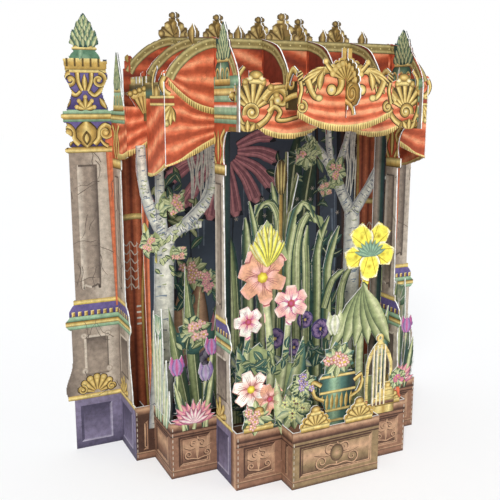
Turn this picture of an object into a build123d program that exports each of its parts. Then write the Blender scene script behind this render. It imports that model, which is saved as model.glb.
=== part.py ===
"""Pop-up greeting card: a slotted paper theatre of folded, die-cut tiers."""
from build123d import *
import math
import os

# Millimetres. +Z is up, +X is to the right, the front of the card faces -Y.
# The origin is the middle of the back panel's bottom edge.
HALF_WIDTH = 72.0
CARD = 0.5
SLOT_PLAY = 0.2

# Outlines are drawn on a grid: 100 grid units from the middle to the outer side wall.
# One unit of height is a little shorter than one unit of width or depth.
GRID = HALF_WIDTH / 100.0
RISE = 0.98 * GRID
E = CARD / GRID / 2.0
SLOT_HALF = E + SLOT_PLAY / GRID

# Plan of the card, in grid units: half width and depth of each folded tier.
OUTER_X, OUTER_Y = 100.0, 32.3
SECOND_X, SECOND_Y = 88.0, 63.6
THIRD_X, THIRD_Y = 58.7, 92.2
BAY_X, BAY_Y = 29.4, 105.5
LEAF_ROW_Y = 48.0
FLOWER_ROW_Y = 78.0
LEAF_FIN = (29.0, 67.0)

# Heights, in grid units.
PLANTER = 36.0
BASE_STRIP = 26.0
BASE_LAP = 13.0
ROOT = PLANTER - 6.0
ROOF = 260.5
ROOF_MIDDLE = 262.6
ROOF_BACK = 265.5
RIB_UNDER = 236.0
ROOF_LAP = 249.0
SIDE_LAP = 232.0
THIRD_LAP = 228.0
ARCH_EDGE = ((55.0, 0.0), (62.3, 0.8), (69.6, 3.6), (76.9, 8.2), (84.0, 15.0), (88.0, 21.0))
BACK_ARCH = 1.035
RIB_OVERHANG = 4.3
RIB_REACH = THIRD_Y + RIB_OVERHANG
REAR_STUB = 2.2

# Crest along the roof.
SHELL_RADIUS, SHELL_LOBES = 7.2, 5
BIG_SHELL = 1.12
LEAF_HEIGHT, LEAF_HALF = 8.4, 3.6
CREST_X = (-THIRD_X, -BAY_X, 0.0, BAY_X, THIRD_X)

# Rail shells on the planters: middle in x, radius.
RAIL_SHELL = 8.4
THIRD_RAIL_SHELL_X = 45.0
BAY_RAIL_SHELL_X = 15.0


def pt(h, z):
    return (h * GRID, z * RISE)


def poly(*points):
    return make_face(Polyline(*[pt(*p) for p in points], close=True))


def rect(h0, z0, h1, z1):
    return Pos(*pt((h0 + h1) / 2, (z0 + z1) / 2)) * Rectangle(abs(h1 - h0) * GRID, abs(z1 - z0) * RISE)


def oval(h, z, rh, rz, turn=0):
    """Small round edge as a polygon: the smaller it is, the fewer its sides."""
    reach = max(rh, rz)
    sides = 6 if reach < 2.3 else 8 if reach < 6 else 10 if reach < 10 else 14 if reach < 20 else 20
    c, s = math.cos(math.radians(turn)), math.sin(math.radians(turn))
    points = []
    for i in range(sides):
        a = 2 * math.pi * (i + 0.5) / sides
        x, y = rh * math.cos(a), rz * math.sin(a)
        points.append((h + x * c - y * s, z + x * s + y * c))
    return poly(*points)


def disc(h, z, r):
    return oval(h, z, r, r)


def flip(shape):
    return mirror(shape, about=Plane.YZ)


def both(shape):
    return shape + flip(shape)


def total(shapes):
    shapes = list(shapes)
    out = shapes[0]
    for shape in shapes[1:]:
        out = out + shape
    return out


def eased(points, spans=2):
    """Grid points of a smooth line through the given ones, a few spans between each two."""
    out = []
    for i in range(len(points) - 1):
        before, a, b, after = points[max(i - 1, 0)], points[i], points[i + 1], points[min(i + 2, len(points) - 1)]
        for k in range(spans):
            t = k / spans
            out.append(tuple(
                0.5 * (2 * q + (r - p) * t + (2 * p - 5 * q + 4 * r - w) * t * t + (3 * q - p - 3 * r + w) * t ** 3)
                for p, q, r, w in zip(before, a, b, after)))
    return out + [points[-1]]


def turned(middle, *rows, spans=2):
    """Face with smooth sides through (height, half width) rows, as a turned vase would be."""
    side = eased([(half, z) for z, half in rows], spans)
    return poly(*([(middle - half, z) for half, z in side] + [(middle + half, z) for half, z in side[::-1]]))


def blade(h0, z0, h1, z1, half, bend=0.0):
    """Pointed leaf from a base to a tip: two arcs, both bent the same way."""
    dh, dz = h1 - h0, z1 - z0
    length = math.hypot(dh, dz)
    nh, nz = -dz / length, dh / length
    spans = 2 if length < 20 else 3
    sides = []
    for swing in (bend + half, bend - half):
        ease = [4 * (i / spans) * (1 - i / spans) for i in range(1, spans)]
        sides.append([(h0 + dh * i / spans + nh * swing * w, z0 + dz * i / spans + nz * swing * w)
                      for i, w in enumerate(ease, 1)])
    return poly((h0, z0), *sides[0], (h1, z1), *sides[1][::-1])


def ribbon(points, stations):
    """Strip along a smooth path, from stations of share of the length and width there."""
    path = Spline(*[pt(*p) for p in points])
    left, right = [], []
    for t, width in stations:
        here, way = path @ t, path % t
        half = width / 2 * GRID
        left.append((here.X - way.Y * half, here.Y + way.X * half))
        right.append((here.X + way.Y * half, here.Y - way.X * half))
    return make_face(Polyline(*(left + right[::-1]), close=True))


def limb(points, wide, narrow, spans=5):
    """Evenly tapering strip along a smooth path, for a branch, a stem or a scroll."""
    return ribbon(points, [(i / spans, wide + (narrow - wide) * i / spans) for i in range(spans + 1)])


def strap(points, wide, shares=(0.0, 0.4, 0.68, 0.87)):
    """Strap leaf along a smooth path, full to near its end and then drawn in to a narrow tip."""
    body = [(t, wide * (1 - 0.36 * t ** 4)) for t in shares]
    return ribbon(points, body + [(1.0, 1.0)])


def scallops(h, z, reach, lobes, start, spread, notch, squash=1.0):
    """Points of a scalloped arc about a middle: flat-topped lobes with a notch before each."""
    points = []
    for i in range(lobes):
        for part, swell in ((0.0, notch), (0.26, 1.0), (0.74, 1.0)):
            a = math.radians(start + spread * (i + part) / lobes)
            points.append((h + reach * swell * math.cos(a), z + reach * swell * squash * math.sin(a)))
    return points


def fan(h, z, radius, lobes, spread=150.0, squash=1.0):
    """Scallop: ribs that spread from a hinge point and end in a ring of lobes."""
    half = math.radians(spread / lobes / 2)
    reach = radius * (1 + 1.02 * math.sin(half))
    notch = (math.cos(half) + 0.4 * math.sin(half)) / (1 + 1.02 * math.sin(half))
    start = 90 - spread / 2
    end = math.radians(start + spread)
    ring = scallops(h, z, reach, lobes, start, spread, notch, squash)
    return poly((h, z), *ring, (h + reach * notch * math.cos(end), z + reach * notch * squash * math.sin(end)))


def crest_shell(h, size=1.0, roof=ROOF_BACK):
    """Shell with scrolled feet, a neck and a round bun on top, standing on the roof line."""
    r = SHELL_RADIUS * size
    toe = r * 1.12 + 2.1 * size
    foot = ((toe - 1.6, -2.0), (toe, 0.8), (toe, 3.0), (toe - 1.8, 4.2), (toe - 3.6, 2.2))
    base = poly(*[(h - a, roof + b) for a, b in foot[::-1]][::-1], *[(h + a, roof + b) for a, b in foot[::-1]])
    neck = rect(h - 3.4 * size, roof + r, h + 3.4 * size, roof + 11.2 * size)
    bun = oval(h, roof + 12.9 * size, 3.5 * size, 2.0 * size)
    return fan(h, roof + 1.0, r, SHELL_LOBES, 170.0) + base + neck + bun


def half_shell():
    """The front half of a crest shell, for a rib seen from the side."""
    return crest_shell(0.0) & rect(-REAR_STUB, ROOF_BACK - 2, 14, ROOF_BACK + 20)


def crest_leaf(h):
    """Pointed leaf that stands on the roof line."""
    side = ((3.2, -3.0), (3.2, 0.8), (LEAF_HALF, LEAF_HEIGHT * 0.4))
    left = [(h - a, ROOF_MIDDLE + b) for a, b in side]
    return poly(*left, (h, ROOF_MIDDLE + LEAF_HEIGHT), *[(2 * h - a, b) for a, b in left[::-1]])


def arch(under, roof, size=1.0):
    """Roof front: a flat top that falls to each side in a smooth curve, down to a level."""
    side = eased([(h * size, roof - drop) for h, drop in ARCH_EDGE])
    left = [(-h, z) for h, z in side[::-1]]
    return poly((left[0][0], under), *left, *side, (side[-1][0], under))


def across(face, depth):
    """A slice that runs from left to right, its middle at the given depth."""
    return extrude(Plane.XZ.offset(depth * GRID) * face, CARD / 2, both=True)


def deep(face, x):
    """A slice that runs from front to back; the face's first coordinate is the depth."""
    plane = Plane(origin=(x * GRID, 0, 0), x_dir=(0, -1, 0), z_dir=(-1, 0, 0))
    return extrude(plane * face, CARD / 2, both=True)


def slot_down(h, lap, top=290.0):
    """Slot open at the top: it takes a slice that comes down to the lap height."""
    return rect(h - SLOT_HALF, lap, h + SLOT_HALF, top)


def slot_up(h, lap, under):
    """Slot open below, up to the lap height."""
    return rect(h - SLOT_HALF, under, h + SLOT_HALF, lap)


def swag(h0, z0, h1, z1, sag, top):
    """Cloth hung between two points, with a curved hem."""
    middle = pt((h0 + h1) / 2, (z0 + z1) / 2 - sag)
    hem = ThreePointArc(pt(h0, z0), middle, pt(h1, z1))
    return make_face(hem + Polyline(pt(h1, z1), pt(h1, top), pt(h0, top), pt(h0, z0)))


def artichoke(h, z, height, half):
    """Overlapping leaf tips that close to a point."""
    tall = blade(h, z - 1, h, z + height, half * 0.62)
    rows = ((0.42, 0.50, 0.76), (0.62, 0.88, 0.50), (0.74, 1.02, 0.26))
    face = tall + turned(h, (z, half * 0.74), (z + height * 0.2, half * 0.86), (z + height * 0.62, half * 0.5))
    for root, tip, rise in rows:
        for s in (-1, 1):
            face = face + blade(h + s * half * root, z, h + s * half * tip, z + height * rise, half * 0.34)
    return face


# Wing pilaster on the back panel, left side, in grid units.
PILASTER_X = -115.2
SHAFT = (-127.0, -OUTER_X)


def pilaster():
    """Stack of mouldings: base block, ledge, shaft, capital, vase, coronet, dome, artichoke."""
    m = PILASTER_X
    base = rect(-130.5, 0, -OUTER_X, 34.6)
    foot = poly((-134.5, 34.2), (-134.5, 37), (-OUTER_X, 37), (-OUTER_X, 34.2))
    belly = Spline(pt(-134.3, 36.5), pt(-135.3, 42), pt(-131.6, 54), pt(-130.2, 68), pt(-130, 83))
    block = make_face(belly + Polyline(pt(-130, 83), pt(-OUTER_X, 83), pt(-OUTER_X, 36.5), pt(-134.3, 36.5)))
    ledge = poly((-131.9, 82), (-133.9, 84.6), (-133.9, 87), (-131.4, 89.6), (-131.4, 93.5), (-129.4, 97),
                 (-128.2, 98), (-128.2, 101), (-OUTER_X, 101), (-OUTER_X, 82))
    shaft = rect(SHAFT[0], 100, SHAFT[1], 213)
    astragal = rect(-127.6, 194.4, -102.4, 197.6) + disc(-127.6, 196, 1.6)
    neck = turned(m, (197, 9.4), (201, 8.4), (207, 10.4), (213, 12.6))
    scrolls = disc(-124.2, 208.6, 4.1) + disc(m - 9, 199.4, 2.2)
    shaft = shaft - rect(-135, 197.6, m, 213) + astragal + neck + scrolls
    band = rect(-129.2, 213, -OUTER_X, 219.6) + oval(-128.6, 216.6, 2.2, 1.9)
    vase = turned(m + 0.6, (219.4, 12.2), (222, 12.0), (231, 8.8), (239.4, 12.7), (243, 11.8))
    coronet = poly((m - 11.4, 242.6), (m - 12.6, 250.4), (m + 13.4, 250.4), (m + 12.2, 242.6))
    for i in range(5):
        coronet = coronet - rect(m - 9.2 + i * 4.6, 249.2, m - 7.4 + i * 4.6, 251)
    dome = oval(m, 249.4, 9.4, 7.6) & rect(m - 12, 249, m + 12, 260)
    collar = rect(m - 6.4, 256, m + 6.4, 258.8) + disc(m - 5.9, 256.4, 1.3) + disc(m + 5.9, 256.4, 1.3)
    return total((base, foot, block, ledge, shaft, band, vase, coronet, dome, collar,
                  artichoke(m, 258, 19.2, 7.4)))


def back_panel():
    """Flat back: night-sky panel with the rear arch, its crest and both wing pilasters."""
    sky = rect(-OUTER_X, 0, OUTER_X, 219.6)
    shoulder = rect(-92, 219, 92, 245) + both(disc(-88.6, 251.4, 2.3) + rect(-91, 244, -84, 250))
    face = sky + shoulder + arch(219.0, ROOF_BACK, BACK_ARCH) + both(pilaster())
    for x in CREST_X:
        face = face + crest_shell(x) - slot_down(x, ROOF_LAP)
    side_tabs = rect(OUTER_X - SLOT_HALF * 1.4, 207, OUTER_X + SLOT_HALF * 1.4, 219.0)
    foot_tabs = rect(OUTER_X - SLOT_HALF * 1.4, 8, OUTER_X + SLOT_HALF * 1.4, 20)
    face = face - both(side_tabs + foot_tabs) - both(slot_down(SECOND_X, SIDE_LAP))
    return across(face, 0.0)


def outer_side():
    """Side wall at x = +-100: base panel, half pillar, bracket and small spired tower."""
    base = rect(E, 0, OUTER_Y + E, 34.8) + rect(26, 34, OUTER_Y + E, PLANTER)
    front = Spline(pt(27, 36), pt(26.6, 42), pt(24.8, 52), pt(24.4, 82))
    block = make_face(front + Polyline(pt(24.4, 82), pt(E, 82), pt(E, 34), pt(27, 34), pt(27, 36)))
    ledge = poly((E, 81.5), (25, 81.5), (26.8, 84), (26.8, 87), (24.6, 90), (24.6, 93), (21.4, 96.5), (18.6, 98.5),
                 (18.6, 101), (E, 101))
    shaft = poly((E, 100), (17.4, 100), (16.2, 188), (E, 188))
    cap = rect(3, 184.6, 18.2, 190.4)
    hung = rect(E, 187, 8, 219.6)
    bracket = turned(10.5, (190, 6.2), (198, 6.8), (206, 8.6), (213, 12.6))
    cloth = swag(12, 191.2, OUTER_Y + E, 193.4, 1.0, 222.5)
    tower = rect(6, 212.6, 29.2, 219.8) + turned(17, (219, 10.6), (223, 10.2), (228, 8.0), spans=1) \
        + turned(16.4, (227, 8.0), (234, 6.2), (237, 7.0), (244, 4.2), (254, 0.3), spans=1)
    tabs = rect(-REAR_STUB, 8.6, E, 19.4) + rect(-REAR_STUB, 207.6, E, 218.4)
    return total((base, block, ledge, shaft, cap, hung, bracket, cloth, tower, tabs))


def tree(root, crown, branches):
    """Pale trunk with tapering branches; every branch starts in the fork."""
    trunk = limb((root, ((root[0] + crown[0]) / 2 + 0.8, (root[1] + crown[1]) / 2), crown), 14.5, 11.5, 4)
    return total([trunk] + [limb(path, wide, narrow, 4) for path, wide, narrow in branches])


def leaf_cloud(h, z, r, count, turn=0.0):
    """Clump of foliage with a leaf tip at each lobe of its edge."""
    points = []
    for i in range(2 * count):
        a = math.radians(turn + 180.0 * i / count)
        reach = r * (1.14 if i % 2 else 0.86)
        points.append((h + reach * math.cos(a), z + reach * math.sin(a)))
    return poly(*points)


def outer_tier():
    """Rear tier: front at depth 32, folded back at both sides to the back panel."""
    strip = rect(-OUTER_X - E, 0, OUTER_X + E, BASE_STRIP) + both(rect(SECOND_X, 0, OUTER_X + E, PLANTER))
    curtain = poly((-92.6, 206), (-92.6, 150), (-91.2, 60), (-90.6, 34), (-89.0, 34), (-88.8, 206))
    cloth = swag(-OUTER_X - E, 193.4, -87, 202.4, 1.0, 222.5)
    fan_bracket = poly((-89.4, 214.6), (-98.6, 229.0), (-86.2, 234.0), (-86.2, 214.6)) \
        + total(disc(-97.6 + 2.75 * i, 229.8 + 1.0 * i, 1.7) for i in range(5))
    rim = rect(-90, 214, -84, 240) + disc(-89.4, 240.6, 1.8)
    left = total((curtain, cloth, fan_bracket, rim))
    valance = arch(216.0, ROOF_MIDDLE) - oval(0, 205, 50, 16)
    face = total((strip, both(left), valance))
    face = face + tree((-84, 20), (-79, 149), (
        (((-79, 144), (-86, 158), (-91, 175), (-92.5, 200)), 8, 5),
        (((-80, 144), (-81, 164), (-81, 204)), 7, 4),
        (((-78, 142), (-68, 149), (-55, 150)), 9, 4),
        (((-67, 149), (-55, 160), (-48, 172), (-46, 204), (-46, 222)), 8, 3.4)))
    face = face + leaf_cloud(-72, 164, 6.5, 5) + leaf_cloud(-89, 141, 5.5, 5, 20) + leaf_cloud(-69, 133, 4.5, 4) \
        + limb(((-78, 166), (-72, 166), (-66, 172)), 3, 2, 2) + limb(((-80, 138), (-74, 137), (-70, 134)), 3, 2, 2)
    face = face + tree((54, 20), (54.6, 154), (
        (((54, 150), (46, 163), (40, 180), (30, 190), (18, 206), (15, 222)), 9, 4),
        (((41, 174), (36, 192), (35, 222)), 5, 3.4),
        (((40, 178), (47, 194), (53, 222)), 5, 3.4),
        (((55, 150), (63, 161), (73, 176), (79, 194), (80, 222)), 8, 4)))
    face = face + leaf_cloud(18, 190, 8, 6) + leaf_cloud(42, 179, 6.5, 5, 15) + leaf_cloud(33, 168, 5, 5) \
        + limb(((69, 170), (76, 174), (83, 173)), 4, 2, 2) + limb(((42, 178), (37, 172), (34, 169)), 3, 2, 2)
    for x in CREST_X:
        face = face + (crest_shell(x, BIG_SHELL, ROOF_MIDDLE) if x == 0 else crest_leaf(x)) - slot_down(x, ROOF_LAP)
    face = face - both(slot_down(SECOND_X, SIDE_LAP)) \
        - both(slot_down(SECOND_X, BASE_LAP, PLANTER + 1) + slot_down(THIRD_X, BASE_LAP, BASE_STRIP + 1)) \
        - slot_down(0, BASE_LAP, BASE_STRIP + 1)
    plate = across(face, OUTER_Y)
    side = outer_side()
    return plate + deep(side, -OUTER_X) + deep(side, OUTER_X)


def rail(h0, h1, count):
    """Open railing: square uprights on a rail."""
    face = rect(h0, 231, h1, 235.5)
    step = (h1 - h0) / count
    for i in range(count):
        face = face + rect(h0 + step * i, 235, h0 + step * (i + 0.55), 240)
    return face


def second_side():
    """Side wall at x = +-88: planter, foliage, hanging folds of cloth and a hooked finial."""
    base = rect(E, 0, SECOND_Y, BASE_STRIP) + rect(OUTER_Y, 0, SECOND_Y + E, PLANTER)
    cloth = swag(OUTER_Y + 1.2, 182, SECOND_Y + E, 189.4, 1.4, 229.5)
    bar = rect(42, 225.6, SECOND_Y + E, 230.4)
    horn = limb(((47, 229), (46, 236), (49, 241), (53, 244)), 3.6, 2.0, 3) \
        + limb(((56, 229), (57.5, 235), (61, 239), (64, 240.6)), 3.8, 2.8, 3) + disc(52, 230, 4.6)
    strip = rect(-REAR_STUB, 227, SECOND_Y + E, 236) + rail(4, 36, 5)
    leaves = blade(38, ROOT, 35.5, 99, 3.2) + blade(42, ROOT, 43, 88, 3.4) + blade(46, ROOT, 50, 104, 3.4) \
        + blade(52, ROOT, 57, 74, 3.2) + blade(56, ROOT, 61.5, 56, 2.8) + leaf_cloud(45, 92, 7, 4)
    face = total((base, cloth, bar, horn, strip, leaves))
    return face - slot_up(OUTER_Y, SIDE_LAP, 150) - slot_up(OUTER_Y, BASE_LAP, -1) \
        - slot_up(0, SIDE_LAP, 220)


def lotus(h, z, r, petals):
    """Open water flower seen from the side: a fan of pointed petals."""
    face = disc(h, z, r * 0.3)
    for i in range(petals):
        a = math.radians(12 + 156 * i / (petals - 1))
        face = face + blade(h, z, h + r * math.cos(a), z + r * math.sin(a), r * 0.13)
    return face


def tulip(h, z, r, root, lean):
    """Cup of three petals on a curved stem."""
    stem = limb((root, ((root[0] + h) / 2 + lean, (root[1] + z) / 2), (h, z)), 2.2, 1.8, 3)
    cup = oval(h, z + r * 0.7, r * 0.62, r * 0.9) + blade(h - r * 0.3, z, h - r * 0.5, z + r * 1.9, r * 0.34) \
        + blade(h + r * 0.3, z, h + r * 0.5, z + r * 1.9, r * 0.34)
    return stem + cup


def second_tier():
    """Middle tier: front at depth 64 with the arched cloth, folded back at both sides."""
    strip = rect(-SECOND_X - E, 0, SECOND_X + E, BASE_STRIP) + both(rect(THIRD_X, 0, SECOND_X + E, PLANTER))
    legs = both(rect(49.5, 20, THIRD_X - 1.0, 214))
    cloth = both(swag(-SECOND_X - E, 189.4, -THIRD_X + 1.6, 203.4, 1.2, 226))
    middle = arch(224.0, ROOF) + rect(-THIRD_X, 212, THIRD_X, 226) - oval(0, 205, 44, 12)
    ornament = limb(((-88, 239), (-89.6, 235), (-88, 231), (-85, 229)), 3.0, 3.4) + disc(-87.4, 240, 1.9)
    flowers = lotus(-74, PLANTER - 1, 14.4, 9) + tulip(-84, 66, 6.4, (-80, ROOT), -2.4) \
        + tulip(-66, 60, 6.2, (-74, ROOT), 3.0) + tulip(-62, 76, 6.0, (-66, ROOT), 1.5) \
        + blade(-78, ROOT, -86, 62, 2.6) + blade(-68, ROOT, -61, 66, 2.6)
    right = lotus(74, PLANTER - 1, 14, 9) + tulip(80, 70, 6.4, (76, ROOT), 2.4) + tulip(66, 62, 6.2, (70, ROOT), -2.0) \
        + blade(80, ROOT, 86, 66, 2.8) + blade(74, ROOT, 74, 84, 2.6) + blade(66, ROOT, 61.5, 58, 2.6)
    face = total((strip, legs, cloth, middle, both(ornament), flowers, right))
    for x in (-BAY_X, 0.0, BAY_X):
        face = face - slot_down(x, ROOF_LAP) - slot_down(x, BASE_LAP, BASE_STRIP + 1)
    face = face - both(slot_down(THIRD_X, SIDE_LAP)) - both(slot_down(THIRD_X, BASE_LAP, PLANTER + 4))
    side = second_side()
    return across(face, SECOND_Y) + deep(side, -SECOND_X) + deep(side, SECOND_X)


def leaf_row():
    """Row of foliage behind the middle tier: a fan of strap leaves and tall spikes."""
    strip = rect(-85, 0, 85, BASE_STRIP)
    straps = total((
        strap(((-38, 56), (-39.6, 90), (-41.3, 122), (-43.4, 145)), 8.2),
        strap(((-30.4, 56), (-31, 103), (-31.4, 133), (-32.8, 155)), 7.8),
        strap(((-21.8, 56), (-22.2, 110), (-23.8, 133), (-30.2, 165)), 6.0),
        strap(((-9.4, 120), (-10.8, 152), (-14.8, 176)), 4.8),
        strap(((11, 56), (10.8, 107), (9.6, 134), (11, 147)), 6.8),
        strap(((18.8, 56), (18.5, 102), (18.6, 131), (26.6, 152)), 6.8),
        strap(((27.2, 56), (26.2, 97), (26.6, 120), (34.4, 145)), 6.8),
        strap(((24, 90), (30, 108), (39, 115)), 5.0),
        strap(((36.4, 56), (36.4, 90), (39, 108), (46, 118)), 6.4)))
    bend = (0.0, 0.5, 0.72, 0.8, 0.88, 0.95)
    arched = total((
        strap(((-9, 56), (-8.6, 110), (-9.4, 148), (-14, 162), (-20.4, 163.4), (-25.9, 155)), 6.0, bend),
        strap(((-15.4, 56), (-13.8, 110), (-13.2, 134), (-17, 148.6), (-21, 148.4), (-24.6, 143)), 6.0, bend),
        strap(((-3.6, 56), (-4, 112), (-1.4, 140), (4.4, 160.4), (9.6, 161.4), (15, 151.6)), 6.2, bend),
        strap(((4.2, 56), (3.2, 104), (3.4, 136), (9.4, 153), (15, 152.6), (22, 136)), 6.6, bend)))
    clump = rect(-46, 20, -4.5, 62) + rect(2.2, 20, 41, 62) + both(rect(-76, 20, -58, 52))
    face = strip + clump + straps + arched
    face = face + oval(-8.5, 179, 4.2, 11) + rect(-9.6, 100, -7.4, 172)
    face = face + both(blade(-64, 20, -72, 128, 4.4) + blade(-70, 20, -83, 104, 4.2))
    face = face + both(blade(-50, 20, -52, 100, 4.6) + leaf_cloud(-66, 84, 11, 6))
    face = face - both(slot_down(THIRD_X, BASE_LAP, BASE_STRIP + 1)) - slot_down(0, BASE_LAP, BASE_STRIP + 1)
    return across(face, LEAF_ROW_Y)


def blossom(h, z, r, petals, turn=0.0):
    """Open flower: round petals about a middle."""
    return poly(*scallops(h, z, r * 1.03, petals, turn, 360.0, 0.62))


def flower_row():
    """Row of large flowers behind the front tier."""
    strip = rect(-57, 0, 57, BASE_STRIP)
    left = total((limb(((-34, 20), (-30, 70), (-34, 112)), 6, 4), limb(((-30, 20), (-22, 60), (-18, 104)), 5, 3.5),
                  blossom(-36, 124, 15, 6, 10), blossom(-17, 106, 11, 6), blossom(-45, 98, 9, 5),
                  limb(((-40, 20), (-46, 60), (-45, 92)), 4, 3),
                  artichoke(-33, 132, 26, 12), blade(-30, 24, -52, 84, 7, 3), blade(-24, 24, -8, 84, 6, -3),
                  leaf_cloud(-40, 72, 11, 7), leaf_cloud(-22, 62, 9, 6)))
    right = total((limb(((36, 20), (33, 60), (36, 120)), 6, 4), blossom(38, 134, 18, 5, 18),
                   total(blade(34, 112, 34 + d, 72 - abs(d) * 0.1, 5.4) for d in (-24, -14, -5, 5, 14, 22)),
                   limb(((30, 20), (22, 50), (16, 84)), 4, 3), tulip(14, 82, 8, (24, 20), -1),
                   blade(44, 22, 54, 96, 4.5), blade(20, 22, 8, 70, 5)))
    clump = rect(-43, 24, -19, 56) + rect(16, 24, 48, 50)
    face = total((strip, clump, left, right)) - both(slot_down(BAY_X, BASE_LAP, BASE_STRIP + 1))
    return across(face, FLOWER_ROW_Y)


def rib_curve(reach):
    """Top edge of a roof rib: it falls forward from the roof line in one curve."""
    return eased([(64, ROOF), (reach - 14.5, 256), (reach - 6, 248), (reach - 1.3, 240.5), (reach, 234)], 3)


def rib_strip():
    """Straight part of a roof rib: it rises from the middle tier to the back panel."""
    back = ROOF_BACK + REAR_STUB * (ROOF_BACK - ROOF) / SECOND_Y
    return poly((-REAR_STUB, RIB_UNDER), (65, RIB_UNDER), (65, ROOF - 0.4), (SECOND_Y, ROOF), (-REAR_STUB, back))


def third_side():
    """Side wall at x = +-59.3: base panel, pillar, bracket, tower and roof rib in one."""
    base = rect(E, 0, SECOND_Y, BASE_STRIP) + rect(SECOND_Y, 0, THIRD_Y + E, PLANTER)
    back = SECOND_Y + SLOT_HALF
    front = Spline(pt(86.0, 35), pt(85.8, 40), pt(84.0, 54), pt(82.8, 66), pt(82.8, 83))
    block = make_face(front + Polyline(pt(82.8, 83), pt(back, 83), pt(back, 35), pt(86.0, 35)))
    ledge = poly((back, 82), (83.4, 82), (85.4, 84.6), (85.4, 87.4), (83.4, 90), (83.4, 93.5), (80.2, 97.5),
                 (78.2, 99), (78.2, 102), (back, 102))
    shaft = poly((back, 101), (77.0, 101), (75.2, 186), (back, 186))
    cap = rect(back, 185, 78.4, 190.6)
    inner = Spline(pt(76.8, 190), pt(75.4, 198), pt(78.2, 207), pt(83.6, 211))
    bracket = make_face(inner + Polyline(pt(83.6, 211), pt(back, 211), pt(back, 190), pt(76.8, 190)))
    wall = rect(back, 209.6, RIB_REACH, 234) + rect(THIRD_Y - 2, 209.6, THIRD_Y + E, 238)
    hood = poly(*rib_curve(RIB_REACH), (64, 234))
    tower = artichoke(77.4, 248, 20, 7.2)
    crest = half_shell() + crest_leaf(OUTER_Y)
    face = total((base, block, ledge, shaft, cap, bracket, wall, hood, rib_strip(), tower, crest))
    for depth in (0.0, OUTER_Y):
        face = face - slot_up(depth, ROOF_LAP, RIB_UNDER - 2)
    face = face - slot_up(SECOND_Y, SIDE_LAP, 40)
    for depth in (OUTER_Y, LEAF_ROW_Y, SECOND_Y):
        face = face - slot_up(depth, BASE_LAP, -1)
    return face


def rail_shell(h, base):
    """Scallop with a bun on top, standing on a planter rail."""
    return fan(h, base + 1.5, RAIL_SHELL, 7, 186.0, 0.95) + rect(h - 9.6, base - 2, h + 9.6, base + 3.4) \
        + rect(h - 3.4, base + 8, h + 3.4, base + 11.8) + oval(h, base + 12.6, 3.2, 2.2)


def urn(h, z):
    """Footed garden urn with a clipped ball of leaves."""
    bowl = turned(h, (z, 7.6), (z + 5, 5.2), (z + 12, 7.8), (z + 24, 12.4), (z + 34, 12.8), (z + 37, 10.4), spans=1)
    arms = both(limb(((11.5, 30), (17.5, 33), (16.0, 24), (9.5, 20)), 3.0, 2.4, 4))
    return bowl + Pos(*pt(h, z)) * arms + leaf_cloud(h, z + 45, 10.5, 9)


def bird_cage(h, z):
    """Domed cage of upright wires on a curved gold frame, with a ring on top."""
    outer = turned(h, (z, 9.6), (z + 14, 10.2), (z + 30, 9.6), (z + 36, 7.8), (z + 41, 4.6), (z + 44, 1.6), spans=1)
    inner = turned(h, (z + 3.2, 7.8), (z + 14, 8.4), (z + 29, 7.8), (z + 37, 4.8), (z + 40, 1.8), spans=1)
    wires = total(rect(h + d - 0.45, z + 1, h + d + 0.45, z + 41) for d in (-4.2, -1.4, 1.4, 4.2))
    ring = disc(h, z + 46.5, 2.8) - disc(h, z + 46.5, 1.4)
    return outer - inner + (wires & outer) + ring


def third_valance():
    """Hanging cloth of the front tier, with shell brackets over both ends."""
    end = THIRD_X + E
    body = rect(-end, 212, end, 229) + rect(-30, 212, 30, 236)
    hem = both(oval(28, 216.5, 20.6, 10.9) & rect(5, 200, 50, 218))
    bracket = fan(-47.4, 222, 14.0, 7, 150.0) + rect(-57.5, 222, -38, 228) + disc(-41.2, 231, 2.4)
    knob = rect(-51.4, 235.0, -43.6, 241.6) + limb(((-57.4, 232), (-57.6, 238), (-54, 243.4)), 3.0, 2.0)
    scroll = disc(-34.4, 230.6, 5.2) + limb(((-42, 228), (-36, 233), (-30, 232), (-26, 236)), 3.4, 3.0)
    drip = oval(-52.4, 212.4, 6.6, 2.8)
    return total((body, hem, both(total((bracket, knob, scroll, drip)))))


def third_tier():
    """Front tier: planter, scenery and valance at depth 94, folded back at both sides."""
    strip = rect(-THIRD_X - E, 0, THIRD_X + E, BASE_STRIP) + both(rect(BAY_X, 0, THIRD_X + E, PLANTER))
    left = total((blossom(-50, 62, 11, 6, 15), blossom(-38, 54, 9, 5), limb(((-46, ROOT), (-50, 44), (-50, 56)), 5, 4),
                  leaf_cloud(-46, 44, 9, 6), leaf_cloud(-22, 42, 12, 8), leaf_cloud(-16, 58, 9, 7),
                  blade(-30, BASE_STRIP - 2, -34, 66, 3), rect(-34, BASE_STRIP - 2, -8, BASE_STRIP + 8)))
    right = urn(8, BASE_STRIP) + bird_cage(38, PLANTER - 2) + rect(24, BASE_STRIP - 2, 50, PLANTER) \
        + leaf_cloud(52, 52, 6.5, 6) + limb(((52, PLANTER - 2), (53, 44), (52, 50)), 3, 2.4)
    shells = both(rail_shell(-THIRD_RAIL_SHELL_X, PLANTER))
    face = total((strip, left, right, shells))
    face = face - both(slot_down(BAY_X, BASE_LAP, PLANTER + 3))
    valance = third_valance() - both(slot_down(BAY_X, THIRD_LAP, 250)) - slot_down(0, THIRD_LAP, 250)
    side = third_side()
    return across(face, THIRD_Y) + across(valance, THIRD_Y) + deep(side, -THIRD_X) + deep(side, THIRD_X)


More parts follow.
